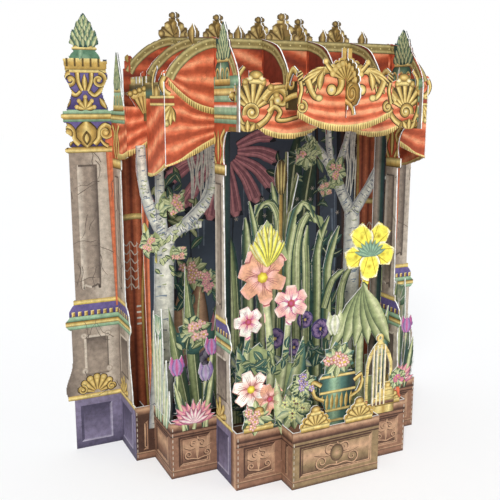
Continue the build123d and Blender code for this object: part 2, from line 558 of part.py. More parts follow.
def bay_planter():
    """Front bay: planter at depth 109 with two rail shells, folded back at both sides."""
    front = rect(-BAY_X - E, 0, BAY_X + E, PLANTER) + both(rail_shell(-BAY_RAIL_SHELL_X, PLANTER))
    side = rect(THIRD_Y - 2, 0, BAY_Y + E, PLANTER) + rect(60, 0, BAY_Y, BASE_STRIP)
    for depth in (SECOND_Y, FLOWER_ROW_Y, THIRD_Y):
        side = side - slot_up(depth, BASE_LAP, -1)
    return across(front, BAY_Y) + deep(side, -BAY_X) + deep(side, BAY_X)


def bay_valance():
    """Front cloth: swag, two acanthus scrolls that rise to a central shell, curled ends."""
    end = BAY_X + E
    hem = ThreePointArc(pt(-end, 217.6), pt(0, 209.4), pt(end, 217.6))
    rise = eased([(end, 233.0), (25, 239.0), (18, 243.4), (9, 243.6)])
    outline = [(end, 217.6)] + rise + [(-h, z) for h, z in rise[::-1]] + [(-end, 217.6)]
    face = make_face(hem + Polyline(*[pt(*p) for p in outline]))
    curls = both(limb(((8, 241), (11, 243.4), (13.4, 246.6)), 3.2, 2.2, 3) + disc(13.2, 246.6, 1.5)
                 + disc(28.6, 239.4, 1.9) + rect(27, 233, end, 239.6))
    return face + curls + fan(0, 236.4, 11.2, 9, 150.0) + rect(-3.0, 246, 3.0, 253.8)


def rib(reach):
    """Roof rib: strip under the roof line that falls forward over the front tier."""
    hood = poly(*rib_curve(RIB_REACH), (RIB_REACH, 221), (64, 226))
    face = rib_strip() + hood + rect(RIB_REACH - 4, 221, reach, 234) + half_shell()
    for depth in (0.0, OUTER_Y):
        face = face - slot_up(depth, ROOF_LAP, RIB_UNDER - 2)
    return face - slot_up(SECOND_Y, ROOF_LAP, 220) - slot_up(THIRD_Y, THIRD_LAP, 215)


def bay_canopy():
    """Front cloth folded back into the two ribs that carry it."""
    cloth = bay_valance() - slot_down(0, 216.4)
    bracket = limb(((93, 232), (97, 239), (101, 242.4), (105, 240)), 3.6, 3.2, 4) + rect(100, 226, BAY_Y + E, 236)
    side = rib(BAY_Y + E) + bracket + crest_leaf(OUTER_Y) - slot_up(OUTER_Y, ROOF_LAP, RIB_UNDER - 2)
    return across(cloth, BAY_Y) + deep(side, -BAY_X) + deep(side, BAY_X)


def centre_rib():
    """Middle rib: its front end is a half shell with a hooked tail, standing out of the cloth."""
    shell = fan(BAY_Y, 235, 11.6, 9, 178.0) & rect(BAY_Y - 1, 233, BAY_Y + 16, 250)
    lobe = oval(BAY_Y + 6.8, 230, 7.6, 7.4) + limb(((BAY_Y, 226), (BAY_Y + 6.5, 223), (BAY_Y + 8.4, 218.6)), 3.4, 2.2, 3)
    face = rib(BAY_Y + 2) + rect(RIB_REACH - 3, 222, BAY_Y + 1, 242) + shell + lobe
    big = crest_shell(OUTER_Y, BIG_SHELL, ROOF_MIDDLE)
    return deep(face + big - slot_up(OUTER_Y, ROOF_LAP, RIB_UNDER - 2) - rect(-REAR_STUB - 1, 220, 0, 1), 0.0)


def leaf_fin():
    """Leaves across the strap fan, on the middle line, slotted over three base strips."""
    near, far = LEAF_FIN
    face = rect(near, 0, far, BASE_STRIP)
    for points, wide in ((((37, 20), (37, 110), (39, 160), (40, 194)), 7), (((41, 20), (41, 120), (44, 160), (54, 181)), 7),
                         (((34, 20), (32, 90), (27, 140)), 6)):
        face = face + limb(points, wide, 2.6, 5)
    for depth in (OUTER_Y, LEAF_ROW_Y, SECOND_Y):
        face = face - slot_up(depth, BASE_LAP, -1)
    return deep(face, 0.0)


PIECES = {
    "back_panel": back_panel,
    "outer_tier": outer_tier,
    "leaf_row": leaf_row,
    "second_tier": second_tier,
    "flower_row": flower_row,
    "third_tier": third_tier,
    "bay_planter": bay_planter,
    "bay_canopy": bay_canopy,
    "centre_rib": centre_rib,
    "leaf_fin": leaf_fin,
}

os.makedirs("parts", exist_ok=True)
for name, make in PIECES.items():
    piece = make()
    export_step(piece, "parts/" + name + ".step")
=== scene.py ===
"""Looks of a pop-up greeting card: printed card, low-relief print lines, studio and camera."""
import bpy
import numpy as np
from mathutils import Matrix, Vector
from mathutils.bvhtree import BVHTree


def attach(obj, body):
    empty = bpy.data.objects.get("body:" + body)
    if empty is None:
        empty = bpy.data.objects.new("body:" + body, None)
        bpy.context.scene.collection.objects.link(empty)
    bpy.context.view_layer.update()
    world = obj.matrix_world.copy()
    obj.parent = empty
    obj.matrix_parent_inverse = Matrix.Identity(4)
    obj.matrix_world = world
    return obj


bl_info = {
    "name": "Pop-up card looks",
    "version": (1, 0, 0),
    "blender": (4, 5, 0),
    "location": "View3D > Sidebar > Card",
    "description": "Prints a slotted paper theatre and sets up its studio",
    "category": "Object",
}

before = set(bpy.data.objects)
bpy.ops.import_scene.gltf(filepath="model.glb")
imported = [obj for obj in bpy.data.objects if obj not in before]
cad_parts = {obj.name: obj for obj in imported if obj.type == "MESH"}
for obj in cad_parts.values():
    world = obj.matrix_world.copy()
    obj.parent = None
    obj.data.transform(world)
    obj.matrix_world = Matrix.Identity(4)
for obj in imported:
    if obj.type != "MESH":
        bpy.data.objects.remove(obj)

# One grid unit of width or depth, one of height, and the thickness of the card, in metres.
PLAN = 0.00072
RISE = 0.0007056
CARD = 0.0005


def srgb(code):
    """Linear colour of an sRGB hex code."""
    parts = [int(code[i:i + 2], 16) / 255 for i in (1, 3, 5)]
    return tuple(c / 12.92 if c <= 0.04045 else ((c + 0.055) / 1.055) ** 2.4 for c in parts)


def paint(name, text, code):
    """Colour property with its name, its description and its default as an sRGB hex code."""
    return bpy.props.FloatVectorProperty(name=name, description=text, subtype="COLOR", default=srgb(code),
                                         min=0.0, max=1.0)


# Each colour: its key, its sRGB hex code and where it goes.
COLOURS = {
    "cloth_light": ("#F0A276", "Crest of a fold of the red cloth"),
    "cloth": ("#D46A46", "Red cloth of the curtains"),
    "cloth_dark": ("#A64A2C", "Valley of a fold of the red cloth"),
    "cloth_deep": ("#7A3324", "Cloth in the shade of the roof"),
    "gold_light": ("#EBD58C", "Lit edge of the gold ornament"),
    "gold": ("#BC9A52", "Gold ornament"),
    "gold_dark": ("#7C6434", "Shaded gold"),
    "gold_deep": ("#3E3118", "Lines between the gold ornament"),
    "olive": ("#8A7A48", "Band along the roof edges"),
    "olive_light": ("#C2B278", "Bead of the roof band"),
    "olive_dark": ("#504628", "Groove of the roof band"),
    "curtain": ("#AC5A3A", "Rear side curtains"),
    "curtain_light": ("#CE7C54", "Crest of a fold of the rear curtains"),
    "curtain_dark": ("#6E3524", "Valley of a fold of the rear curtains"),
    "slate": ("#7A8896", "Upright strokes of the night sky"),
    "crest": ("#A08552", "Shells on the roof"),
    "stone": ("#978879", "Pillar shafts"),
    "stone_light": ("#C8BBAA", "Lit edge of the pillar panels"),
    "stone_dark": ("#655950", "Shaded side of the pillar panels"),
    "purple": ("#665A8C", "Vase and capital ground"),
    "purple_dark": ("#3A3264", "Shaded purple"),
    "patina": ("#9AB896", "Green domes and bands"),
    "patina_dark": ("#587C62", "Shaded green of the domes"),
    "leaf_light": ("#CFD1A2", "Lit leaves"),
    "leaf": ("#9AA471", "Leaves"),
    "leaf_dark": ("#4C5A3E", "Shaded leaves"),
    "teal": ("#4F7468", "Blue-green foliage"),
    "teal_dark": ("#27423C", "Deep blue-green foliage"),
    "bark_light": ("#DEDBCB", "Lit bark"),
    "bark": ("#BBBAAE", "Pale bark"),
    "bark_dark": ("#71747C", "Marks on the bark"),
    "blossom": ("#E9B4A8", "Pink blossom"),
    "blossom_dark": ("#A8645E", "Shaded blossom"),
    "rose": ("#DC989A", "Dusky petals on the sky"),
    "rose_dark": ("#96606A", "Shaded dusky petals"),
    "sky": ("#4A5360", "Night sky of the back panel"),
    "sky_dark": ("#23262D", "Darker night sky"),
    "brown": ("#8B6650", "Planter wood"),
    "brown_light": ("#BE9878", "Lit planter wood"),
    "brown_dark": ("#4C3328", "Shaded planter wood"),
    "tan": ("#8F7857", "Front planter panels"),
    "yellow": ("#F1E458", "Yellow petals and ledges"),
    "yellow_dark": ("#B89A24", "Shaded yellow"),
    "blue": ("#7A7189", "Blue base panels"),
    "blue_light": ("#AFA9B8", "Lit blue panels"),
    "blue_dark": ("#4A4459", "Shaded blue panels"),
    "cream": ("#EFEBDD", "White petals"),
    "apricot": ("#D7A080", "Apricot petals"),
    "lilac": ("#A88AB4", "Lilac tulips"),
    "magenta": ("#C2588A", "Water flower"),
    "card": ("#F1F0EC", "Bare white card at the cut edges"),
    "black": ("#1B191B", "Darkest print"),
}


class CardColours(bpy.types.PropertyGroup):
    """Colours of the print, one property for each row of the table"""
    __annotations__ = {key: paint(key.replace("_", " ").capitalize(), text, code)
                       for key, (code, text) in COLOURS.items()}


class CardSizes(bpy.types.PropertyGroup):
    """Heights of the print over the card, the lens and the floor"""
    lift: bpy.props.FloatProperty(name="Print lift", description="Height of the first print layer over the card",
                                  default=0.00003, unit="LENGTH", precision=6)
    layer: bpy.props.FloatProperty(name="Layer step", description="Height of each further print layer",
                                   default=0.00003, unit="LENGTH", precision=6)
    step: bpy.props.FloatProperty(name="Stroke step", description="Height of each stroke over the one before it",
                                  default=0.0000001, unit="LENGTH", precision=8)
    lens: bpy.props.FloatProperty(name="Lens", description="Focal length on a 36 mm sensor", default=52.98,
                                  unit="CAMERA")
    floor: bpy.props.FloatProperty(name="Floor", description="Half width of the floor", default=3.0, unit="LENGTH")


def listed(names):
    """Palette names as a list: they may come as one string with spaces."""
    return names.split() if isinstance(names, str) else names


def columns(names):
    """Places from -1 to 1 across a strip: one for each colour, and three at least."""
    return np.linspace(-1, 1, max(len(listed(names)), 3))


def tones(names, t):
    """Colours along a list of palette names: t from 0 to 1 runs evenly through them, mixed in linear light."""
    names = listed(names)
    table = np.array([list(getattr(bpy.context.scene.card_colours, n)) for n in names])
    t = np.clip(np.asarray(t, float), 0, 1) * (len(names) - 1)
    low = np.clip(t.astype(int), 0, max(len(names) - 2, 0))
    part = (t - low)[..., None]
    return table[low] * (1 - part) + table[np.minimum(low + 1, len(names) - 1)] * part


def smooth_path(points, steps):
    """Points of a Catmull-Rom curve through the given ones, a fixed number of steps between each two."""
    p = np.array([points[0]] + list(points) + [points[-1]], float)
    out = []
    for i in range(1, len(p) - 2):
        for t in np.arange(steps) / steps:
            a, b, c, d = p[i - 1], p[i], p[i + 1], p[i + 2]
            out.append(0.5 * (2 * b + (c - a) * t + (2 * a - 5 * b + 4 * c - d) * t * t
                              + (3 * b - a - 3 * c + d) * t ** 3))
    return np.array(out + [p[-2]])


def run_length(line):
    """Distance along a line of points, summed from its start to each point."""
    return np.concatenate([[0], np.cumsum(np.linalg.norm(np.diff(line, axis=0), axis=1))])


class Print:
    """Print layers on one face of one card slice, gathered into a single mesh of coloured grids."""

    # Widest quad that may be kept whole, and the width at which an edge is close enough, in grid units.
    coarse, finest = 4.2, 0.75
    # Most halvings of a quad at an edge, and the longest way from a point of print to its card, in metres.
    halvings, reach = 8, 0.001

    def __init__(self, name, axis, place, side=1):
        self.name, self.axis, self.place, self.side = name, axis, place, side
        self.points, self.faces, self.colours = [], [], []
        self.count = 0

    def grid(self, h, z, colour, level=0):
        """Grid surface: arrays of places and colours on the slice, each grid a step further out than the last."""
        rows, cols = h.shape
        index = np.arange(rows * cols).reshape(rows, cols) + self.count
        a, b, c, d = index[:-1, :-1], index[:-1, 1:], index[1:, 1:], index[1:, :-1]
        quads = np.stack([a, b, c, d], -1).reshape(-1, 4)
        x, y = h.ravel(), z.ravel()
        q = quads - self.count
        area = ((x[q[:, 0]] - x[q[:, 2]]) * (y[q[:, 1]] - y[q[:, 3]])
                - (x[q[:, 1]] - x[q[:, 3]]) * (y[q[:, 0]] - y[q[:, 2]]))
        turn = (area < 0) ^ (self.side < 0)
        quads[turn] = quads[turn][:, ::-1]
        sizes = bpy.context.scene.card_sizes
        off = CARD / 2 + sizes.lift + sizes.layer * level + sizes.step * len(self.points)
        if self.axis == "y":
            place = np.stack([x * PLAN, np.full_like(x, -self.place * PLAN - self.side * off), y * RISE], -1)
        else:
            place = np.stack([np.full_like(x, self.place * PLAN - self.side * off), -x * PLAN, y * RISE], -1)
        self.points.append(place)
        self.faces.append(quads)
        self.colours.append(np.broadcast_to(colour, (rows, cols, 3)).reshape(-1, 3))
        self.count += rows * cols

    def ribbon(self, points, wide, narrow, names, level=1, steps=6, keep=1):
        """Band: points of a smooth path, moved along its normal by v from -1 to 1 times the half width.

        The width runs from wide to narrow with the way along to the power keep. The colours lie across it."""
        path = smooth_path(points, steps) if len(points) > 2 else np.linspace(points[0], points[1], steps + 1)
        run = np.gradient(path, axis=0)
        run /= np.maximum(np.linalg.norm(run, axis=1, keepdims=True), 1e-6)
        side = np.stack([-run[:, 1], run[:, 0]], -1)
        t = np.linspace(0, 1, len(path))
        half = (wide + (narrow - wide) * t ** keep) / 2
        v = columns(names)
        place = path[:, None] + side[:, None] * (half[:, None] * v[None])[..., None]
        self.grid(place[..., 0], place[..., 1], tones(names, (v + 1) / 2)[None], level)

    def leaf(self, h0, z0, h1, z1, half, names, level=1, bend=0.0, along=False, blunt=0.8):
        """Pointed leaf: its half width is a sine of the way from root to tip, to the power blunt.

        Its midrib bows sideways in a parabola, and the colours lie across it or along it."""
        t = np.linspace(0, 1, 9)
        dh, dz = h1 - h0, z1 - z0
        length = max(np.hypot(dh, dz), 1e-6)
        n = np.array([-dz, dh]) / length
        sway = bend * 4 * t * (1 - t)
        v = columns(names)
        w = half * np.sin(np.pi * np.clip(t, 0.02, 0.98)) ** blunt
        h = (h0 + dh * t + n[0] * sway)[:, None] + n[0] * w[:, None] * v
        z = (z0 + dz * t + n[1] * sway)[:, None] + n[1] * w[:, None] * v
        self.grid(h, z, tones(names, t[:, None] + 0 * v if along else (v + 1) / 2 + 0 * t[:, None]), level)

    def disc(self, h, z, rh, rz, names, level=1, turn=0.0, lobes=0):
        """Ellipse: r times the cosine and sine of an angle, with colours from the middle to the rim.

        The rim may have lobes, which follow the size of a cosine of the angle."""
        a = np.linspace(0, 2 * np.pi, 25 if not lobes else lobes * 6 + 1)[:, None]
        r = (columns(names)[None] + 1) / 2
        rim = 0.88 + 0.12 * np.abs(np.cos(lobes * a / 2)) if lobes else 1.0
        c, s = np.cos(np.radians(turn)), np.sin(np.radians(turn))
        x, y = rh * r * rim * np.cos(a), rz * r * rim * np.sin(a)
        self.grid(h + x * c - y * s, z + x * s + y * c, tones(names, r + 0 * a), level)

    def shell(self, h, z, radius, lobes, names, level=1, spread=170.0):
        """Scallop: points at an angle and a reach from a hinge, longer by the root of a sine over each rib.

        Across each rib the colours run dark to light to dark."""
        a = np.linspace(0, 1, lobes * 6 + 1)[:, None]
        r = np.linspace(0.16, 1, 6)[None]
        ridge = np.abs(np.sin(np.pi * a * lobes))
        angle = np.radians(90 - spread / 2 + spread * a)
        reach = radius * r * (0.88 + 0.12 * np.sqrt(ridge))
        shade = np.clip(ridge * (0.55 + 0.45 * r), 0, 1)
        self.grid(h + reach * np.cos(angle), z + reach * np.sin(angle), tones(names, shade), level)

    def scroll(self, h, z, start, end, turns, wide, names, level=2, sense=1, first=0.0):
        """Spiral band: the radius runs evenly from start to end while the angle runs through its turns."""
        t = np.linspace(0, 1, int(14 * turns) + 2)
        angle = np.radians(first) + sense * 2 * np.pi * turns * t
        r = start + (end - start) * t
        points = np.stack([h + r * np.cos(angle), z + r * np.sin(angle)], -1)
        self.ribbon([tuple(p) for p in points], wide, wide * 0.55, names, level, 1)

    def patch(self, h0, z0, h1, z1, names, level, rising):
        """Upright rectangle, fine enough to follow an outline, with the colours up it or across it."""
        fine = max(len(listed(names)) * 2 - 1, 3)
        u = np.linspace(0, 1, max(int(abs(h1 - h0) / 4) + 2, 2 if rising else fine))[None]
        t = np.linspace(0, 1, max(int(abs(z1 - z0) / 4) + 2, fine if rising else 2))[:, None]
        shade = (t if rising else u) + 0 * t * u
        self.grid(h0 + (h1 - h0) * u + 0 * t, z0 + (z1 - z0) * t + 0 * u, tones(names, shade), level)

    def band(self, h0, z0, h1, z1, names, level=1):
        """Straight moulding: the colours lie across its height from the bottom to the top."""
        self.patch(h0, z0, h1, z1, names, level, True)

    def upright(self, h0, z0, h1, z1, names, level=1):
        """Upright strip: the colours lie across its width from left to right."""
        self.patch(h0, z0, h1, z1, names, level, False)

    def quad(self, corners, names, level=1, across=True):
        """Four-cornered patch: each point divides opposite sides in the same part. The colours lie across it."""
        p = np.array(corners, float)
        fine = max(len(listed(names)) * 2 - 1, 3)
        u = np.linspace(0, 1, fine if across else int(np.hypot(*(p[1] - p[0])) / 4) + 2)[None, :, None]
        t = np.linspace(0, 1, int(np.hypot(*(p[3] - p[0])) / 4) + 2 if across else fine)[:, None, None]
        place = (p[0] * (1 - u) + p[1] * u) * (1 - t) + (p[3] * (1 - u) + p[2] * u) * t
        shade = (u if across else t) + 0 * u * t
        self.grid(place[..., 0], place[..., 1], tones(names, shade[..., 0]), level)

    def panel(self, h0, z0, h1, z1, rim, names, inside, level=1, field=None):
        """Moulded frame round a field: light above and to the left, dark below and to the right, or the reverse."""
        if field:
            self.band(h0 + rim, z0 + rim, h1 - rim, z1 - rim, field, level)
        for corners, tone in (
                (((h0, z1), (h1, z1), (h1 - rim, z1 - rim), (h0 + rim, z1 - rim)), names),
                (((h0, z0), (h0, z1), (h0 + rim, z1 - rim), (h0 + rim, z0 + rim)), names),
                (((h1, z0), (h0, z0), (h0 + rim, z0 + rim), (h1 - rim, z0 + rim)), inside),
                (((h1, z1), (h1, z0), (h1 - rim, z0 + rim), (h1 - rim, z1 - rim)), inside)):
            self.quad(corners, tone, level, across=False)

    def cloth(self, top, bottom, names, fold, level=0, nu=48, nv=14):
        """Hanging cloth: straight lines from a curve above to one below. fold(u, v) gives its shade from 0 to 1."""
        u = np.linspace(0, 1, nu)
        up, low = (np.stack([np.interp(u, np.linspace(0, 1, len(edge)), [p[k] for p in edge]) for k in (0, 1)], -1)
                   for edge in (top, bottom))
        v = np.linspace(0, 1, nv)[:, None, None]
        place = up[None] * (1 - v) + low[None] * v
        shade = fold(u[None], v[..., 0])
        self.grid(place[..., 0], place[..., 1], tones(names, np.broadcast_to(shade, (nv, nu))), level)

    def fringe(self, path, drop, level):
        """Threads 1.5 units apart that hang straight from a smooth line: a cosine along it shades them.

        They are light above and darker to their ends."""
        step = 1.5
        line = smooth_path(path, 8)
        length = run_length(line)
        count = max(int(length[-1] / step) * 4, 8)
        s = np.linspace(0, length[-1], count)
        h, z = np.interp(s, length, line[:, 0]), np.interp(s, length, line[:, 1])
        v = np.linspace(0, 1, 4)[:, None]
        wave = 0.5 + 0.5 * np.cos(2 * np.pi * s / step)[None]
        shade = np.clip(1 - 0.42 * v ** 0.7 - 0.55 * (1 - wave) * (v > 0.1), 0, 1)
        colours = tones("gold_deep gold_dark gold gold_light gold_light", shade)
        self.grid(h[None] + 0 * v, z[None] - drop * v, colours, level)

    def cut(self, node):
        """Coloured quads of the print that lie on the card of its node: those across an edge are halved up to it."""
        points, faces, tints = np.concatenate(self.points), np.concatenate(self.faces), np.concatenate(self.colours)
        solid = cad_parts[node]
        tree = BVHTree.FromPolygons([v.co[:] for v in solid.data.vertices],
                                    [p.vertices[:] for p in solid.data.polygons])
        way = Vector((0.0, self.side, 0.0) if self.axis == "y" else (self.side, 0.0, 0.0))

        def on_card(places):
            """Whether a ray from each place towards the card meets it."""
            return np.array([tree.ray_cast(Vector(p), way, self.reach)[0] is not None for p in places.reshape(-1, 3)],
                            bool).reshape(places.shape[:-1])

        def halves(q):
            """Middles of the four sides of each quad, and its own middle."""
            ab, bc, cd, da = ((q[:, i] + q[:, (i + 1) % 4]) / 2 for i in range(4))
            middle = q.mean(axis=1)
            return ab, bc, cd, da, middle

        def quarters(q, ab, bc, cd, da, middle):
            """The four smaller quads that a quad falls into."""
            return np.concatenate([np.stack(c, 1) for c in ((q[:, 0], ab, middle, da), (ab, q[:, 1], bc, middle),
                                                            (middle, bc, q[:, 2], cd), (da, middle, cd, q[:, 3]))])

        corners, shades = points[faces], tints[faces]
        hits = on_card(points)[faces]
        kept_corners, kept_shades = [], []
        for _ in range(self.halvings):
            size = np.maximum(np.abs(corners[:, 0] - corners[:, 2]).max(axis=1),
                              np.abs(corners[:, 1] - corners[:, 3]).max(axis=1))
            small = size < self.coarse * PLAN
            whole = hits.all(axis=1) & small
            last = (size < self.finest * PLAN) & (hits.sum(axis=1) >= 2)
            take = whole | last
            kept_corners.append(corners[take])
            kept_shades.append(shades[take])
            more = ~take & (hits.any(axis=1) | ~small) & (size >= self.finest * PLAN)
            if not more.any():
                break
            places, colours, seen = corners[more], shades[more], hits[more]
            new = halves(places)
            corners = quarters(places, *new)
            shades = quarters(colours, *halves(colours))
            found = on_card(np.stack(new, 1))
            hits = quarters(seen, *(found[:, i] for i in range(5)))
        return np.concatenate(kept_corners), np.concatenate(kept_shades)

    def build(self, node, mirrored=False, back=False):
        """One mesh with a colour per corner, with mirrored and reverse-side copies."""
        corners, shades = self.cut(node)
        axis = 1 if self.axis == "y" else 0
        middle = (-self.place if self.axis == "y" else self.place) * PLAN
        sets = [corners]
        if back:
            other = corners.copy()
            other[:, :, axis] = 2 * middle - other[:, :, axis]
            sets.append(other[:, ::-1])
        tints = [shades, shades[:, ::-1]][:len(sets)]
        if mirrored:
            sets += [(c * (-1, 1, 1))[:, ::-1] for c in sets]
            tints += [t[:, ::-1] for t in tints]
        points, tints = np.concatenate(sets).reshape(-1, 3), np.concatenate(tints).reshape(-1, 3)
        # Corners nearer than 10 nm with like tints are one point.
        rounded = np.round(np.concatenate([points * 1e8, tints * 1e4], 1)).astype(np.int64)
        _, first, index = np.unique(rounded, axis=0, return_index=True, return_inverse=True)
        points, tints, faces = points[first], tints[first], index.reshape(-1, 4)
        mesh = bpy.data.meshes.new(self.name)
        mesh.vertices.add(len(points))
        mesh.vertices.foreach_set("co", points.astype(np.float32).ravel())
        mesh.loops.add(len(faces) * 4)
        mesh.loops.foreach_set("vertex_index", faces.astype(np.int32).ravel())
        mesh.polygons.add(len(faces))
        mesh.polygons.foreach_set("loop_start", (np.arange(len(faces)) * 4).astype(np.int32))
        mesh.polygons.foreach_set("loop_total", np.full(len(faces), 4, np.int32))
        mesh.update(calc_edges=True)
        tint = mesh.color_attributes.new("tint", "FLOAT_COLOR", "POINT")
        tint.data.foreach_set("color", np.concatenate([tints, np.ones((len(points), 1))], 1).astype(np.float32).ravel())
        mesh.materials.append(print_material())
        piece = bpy.data.objects.new(self.name, mesh)
        bpy.context.scene.collection.objects.link(piece)
        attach(piece, "root")
        return piece


def add_node(tree, kind, inputs=(), **settings):
    """Adds a node, sets its fields, and links or sets its inputs: a node given as a value is its first output."""
    node = tree.nodes.new(kind)
    for key, value in settings.items():
        setattr(node, key, value)
    for key, value in dict(inputs).items():
        if isinstance(value, bpy.types.Node):
            value = value.outputs[0]
        if isinstance(value, bpy.types.NodeSocket):
            tree.links.new(value, node.inputs[key])
        else:
            node.inputs[key].default_value = value
    return node


def new_material(name):
    """Matt coated card: IOR 1.5, no metal, and rough enough for a soft, weak sheen without a highlight."""
    material = bpy.data.materials.new(name)
    material.use_nodes = True
    tree = material.node_tree
    tree.nodes.clear()
    out = tree.nodes.new("ShaderNodeOutputMaterial")
    shader = tree.nodes.new("ShaderNodeBsdfPrincipled")
    shader.inputs["Roughness"].default_value = 0.62
    shader.inputs["Specular IOR Level"].default_value = 0.28
    tree.links.new(shader.outputs[0], out.inputs["Surface"])
    return material, tree, shader


def across_mm(size):
    """Texture scale for marks this many millimetres wide, on coordinates in metres."""
    return 1000.0 / size


def worked(tree, colour, shader, strokes=0.3, grain=0.14, wear=1.0):
    """Brush strokes, paper tooth, dark specks and hairline cracks over a colour, and a fine paper bump.

    The tooth of real card is near 0.1 mm, too fine to show, so it is drawn 0.33 mm wide and 0.02 mm deep."""
    place = add_node(tree, "ShaderNodeTexCoord").outputs["Object"]
    wide, fine, vein = (add_node(tree, "ShaderNodeTexNoise", {"Vector": place, "Scale": across_mm(size),
                                                              "Detail": detail})
                        for size, detail in ((2.2, 4.0), (0.33, 2.0), (11.0, 3.0)))
    cell = add_node(tree, "ShaderNodeTexVoronoi", {"Vector": place, "Scale": across_mm(1.1)})
    split = add_node(tree, "ShaderNodeMath", {0: vein, 1: 0.5}, operation="SUBTRACT")
    split = add_node(tree, "ShaderNodeMath", {0: split}, operation="ABSOLUTE")
    spans = ((wide, 0.25, 0.75, 1 - strokes, 1 + strokes * 0.8), (fine, 0.2, 0.8, 1 - grain, 1 + grain),
             (split, 0.0, 0.004, 1 - 0.3 * wear, 1.0), (cell, 0.08, 0.2, 1 - 0.26 * wear, 1.0))
    shade = 1.0
    for value, low, high, dark, light in spans:
        span = add_node(tree, "ShaderNodeMapRange", {"Value": value, "From Min": low, "From Max": high, "To Min": dark,
                                                     "To Max": light})
        shade = add_node(tree, "ShaderNodeMath", {0: span, 1: shade}, operation="MULTIPLY")
    toned = add_node(tree, "ShaderNodeVectorMath", {0: colour, "Scale": shade}, operation="SCALE")
    tree.links.new(toned.outputs[0], shader.inputs["Base Color"])
    bump = add_node(tree, "ShaderNodeBump", {"Height": fine, "Strength": 0.12, "Distance": 0.00002})
    tree.links.new(bump.outputs[0], shader.inputs["Normal"])


def print_material():
    """Matt coated card, offset printed: flat ink over the tooth of the card, coloured by the mesh's own tint."""
    found = bpy.data.materials.get("matt_printed_card")
    if found:
        return found
    material, tree, shader = new_material("matt_printed_card")
    tint = add_node(tree, "ShaderNodeAttribute", attribute_name="tint").outputs["Color"]
    worked(tree, tint, shader)
    return material


def between(tree, value, low, high):
    """One where a value lies between two others, and else nought: it is nearer to their middle than half the gap."""
    off = add_node(tree, "ShaderNodeMath", {0: value, 1: (low + high) / 2}, operation="SUBTRACT")
    off = add_node(tree, "ShaderNodeMath", {0: off, 1: 0.0}, operation="ABSOLUTE")
    return add_node(tree, "ShaderNodeMath", {0: off, 1: abs(high - low) / 2}, operation="LESS_THAN")


def card_material(node, faces, front_only=False):
    """Matt coated card of a CAD node: bare and white at the cut edges, printed on the faces that are named.

    faces lists (axis, place in grid units, ground colour, zones); a zone is (h0, z0, h1, z1, colour)."""
    colours = bpy.context.scene.card_colours
    material, tree, shader = new_material(node + "_matt_card")
    # How far a point may lie from the face of the card and still be printed, in metres.
    film = 0.00006
    place = add_node(tree, "ShaderNodeTexCoord").outputs["Object"]
    split = add_node(tree, "ShaderNodeSeparateXYZ", {0: place})
    geometry = add_node(tree, "ShaderNodeNewGeometry")
    normal = add_node(tree, "ShaderNodeSeparateXYZ", {0: geometry.outputs["True Normal"]})
    height = add_node(tree, "ShaderNodeMath", {0: split.outputs["Z"], 1: RISE}, operation="DIVIDE")
    result = add_node(tree, "ShaderNodeRGB")
    result.outputs[0].default_value = (*colours.card, 1)
    colour = result.outputs[0]
    for axis, value, ground, zones in faces:
        run, depth = ("X", "Y") if axis == "y" else ("Y", "X")
        unit = PLAN if axis == "y" else -PLAN
        along = add_node(tree, "ShaderNodeMath", {0: split.outputs[run], 1: unit}, operation="DIVIDE")
        field = add_node(tree, "ShaderNodeRGB").outputs[0]
        field.default_value = (*getattr(colours, ground), 1)
        for h0, z0, h1, z1, name in zones:
            inside, level = between(tree, along, h0, h1), between(tree, height, z0, z1)
            part = add_node(tree, "ShaderNodeMath", {0: inside, 1: level}, operation="MULTIPLY")
            mix = add_node(tree, "ShaderNodeMix", {0: part, 6: field}, data_type="RGBA")
            mix.inputs[7].default_value = (*getattr(colours, name), 1)
            field = mix.outputs[2]
        toward = normal.outputs[depth]
        if front_only:
            facing = add_node(tree, "ShaderNodeMath", {0: toward, 1: -0.9}, operation="LESS_THAN")
        else:
            toward = add_node(tree, "ShaderNodeMath", {0: toward, 1: 0.0}, operation="ABSOLUTE")
            facing = add_node(tree, "ShaderNodeMath", {0: toward, 1: 0.9}, operation="GREATER_THAN")
        middle = -value * PLAN if axis == "y" else value * PLAN
        off = add_node(tree, "ShaderNodeMath", {0: split.outputs[depth], 1: middle}, operation="SUBTRACT")
        off = add_node(tree, "ShaderNodeMath", {0: off, 1: 0.0}, operation="ABSOLUTE")
        near = add_node(tree, "ShaderNodeMath", {0: off, 1: CARD / 2 + film}, operation="LESS_THAN")
        far = add_node(tree, "ShaderNodeMath", {0: off, 1: CARD / 2 - film}, operation="GREATER_THAN")
        face = add_node(tree, "ShaderNodeMath", {0: near, 1: far}, operation="MULTIPLY")
        mask = add_node(tree, "ShaderNodeMath", {0: facing, 1: face}, operation="MULTIPLY")
        mix = add_node(tree, "ShaderNodeMix", {0: mask, 6: colour, 7: field}, data_type="RGBA")
        colour = mix.outputs[2]
    worked(tree, colour, shader, *((0.07, 0.04, 0.15) if front_only else (0.3, 0.12)))
    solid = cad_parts[node]
    solid.data.materials.clear()
    solid.data.materials.append(material)


# Places of the sheets in grid units: the fronts one behind another, the side walls from the middle.
BACK_Y, OUTER_Y, LEAF_Y, SECOND_Y, FLOWER_Y, THIRD_Y, BAY_Y = 0.0, 32.3, 48.0, 63.6, 78.0, 92.2, 105.5
OUTER_X, SECOND_X, THIRD_X, BAY_X = 100.0, 88.0, 58.7, 29.4
RAIL = 36.0
LEDGE = 82.0
ROOF_SIDE = ((55.0, 0.0), (62.3, 0.8), (69.6, 3.6), (76.9, 8.2), (84.0, 15.0), (88.0, 21.0))
CREST_FIELD = (-3, 265, 50, 290, "crest")

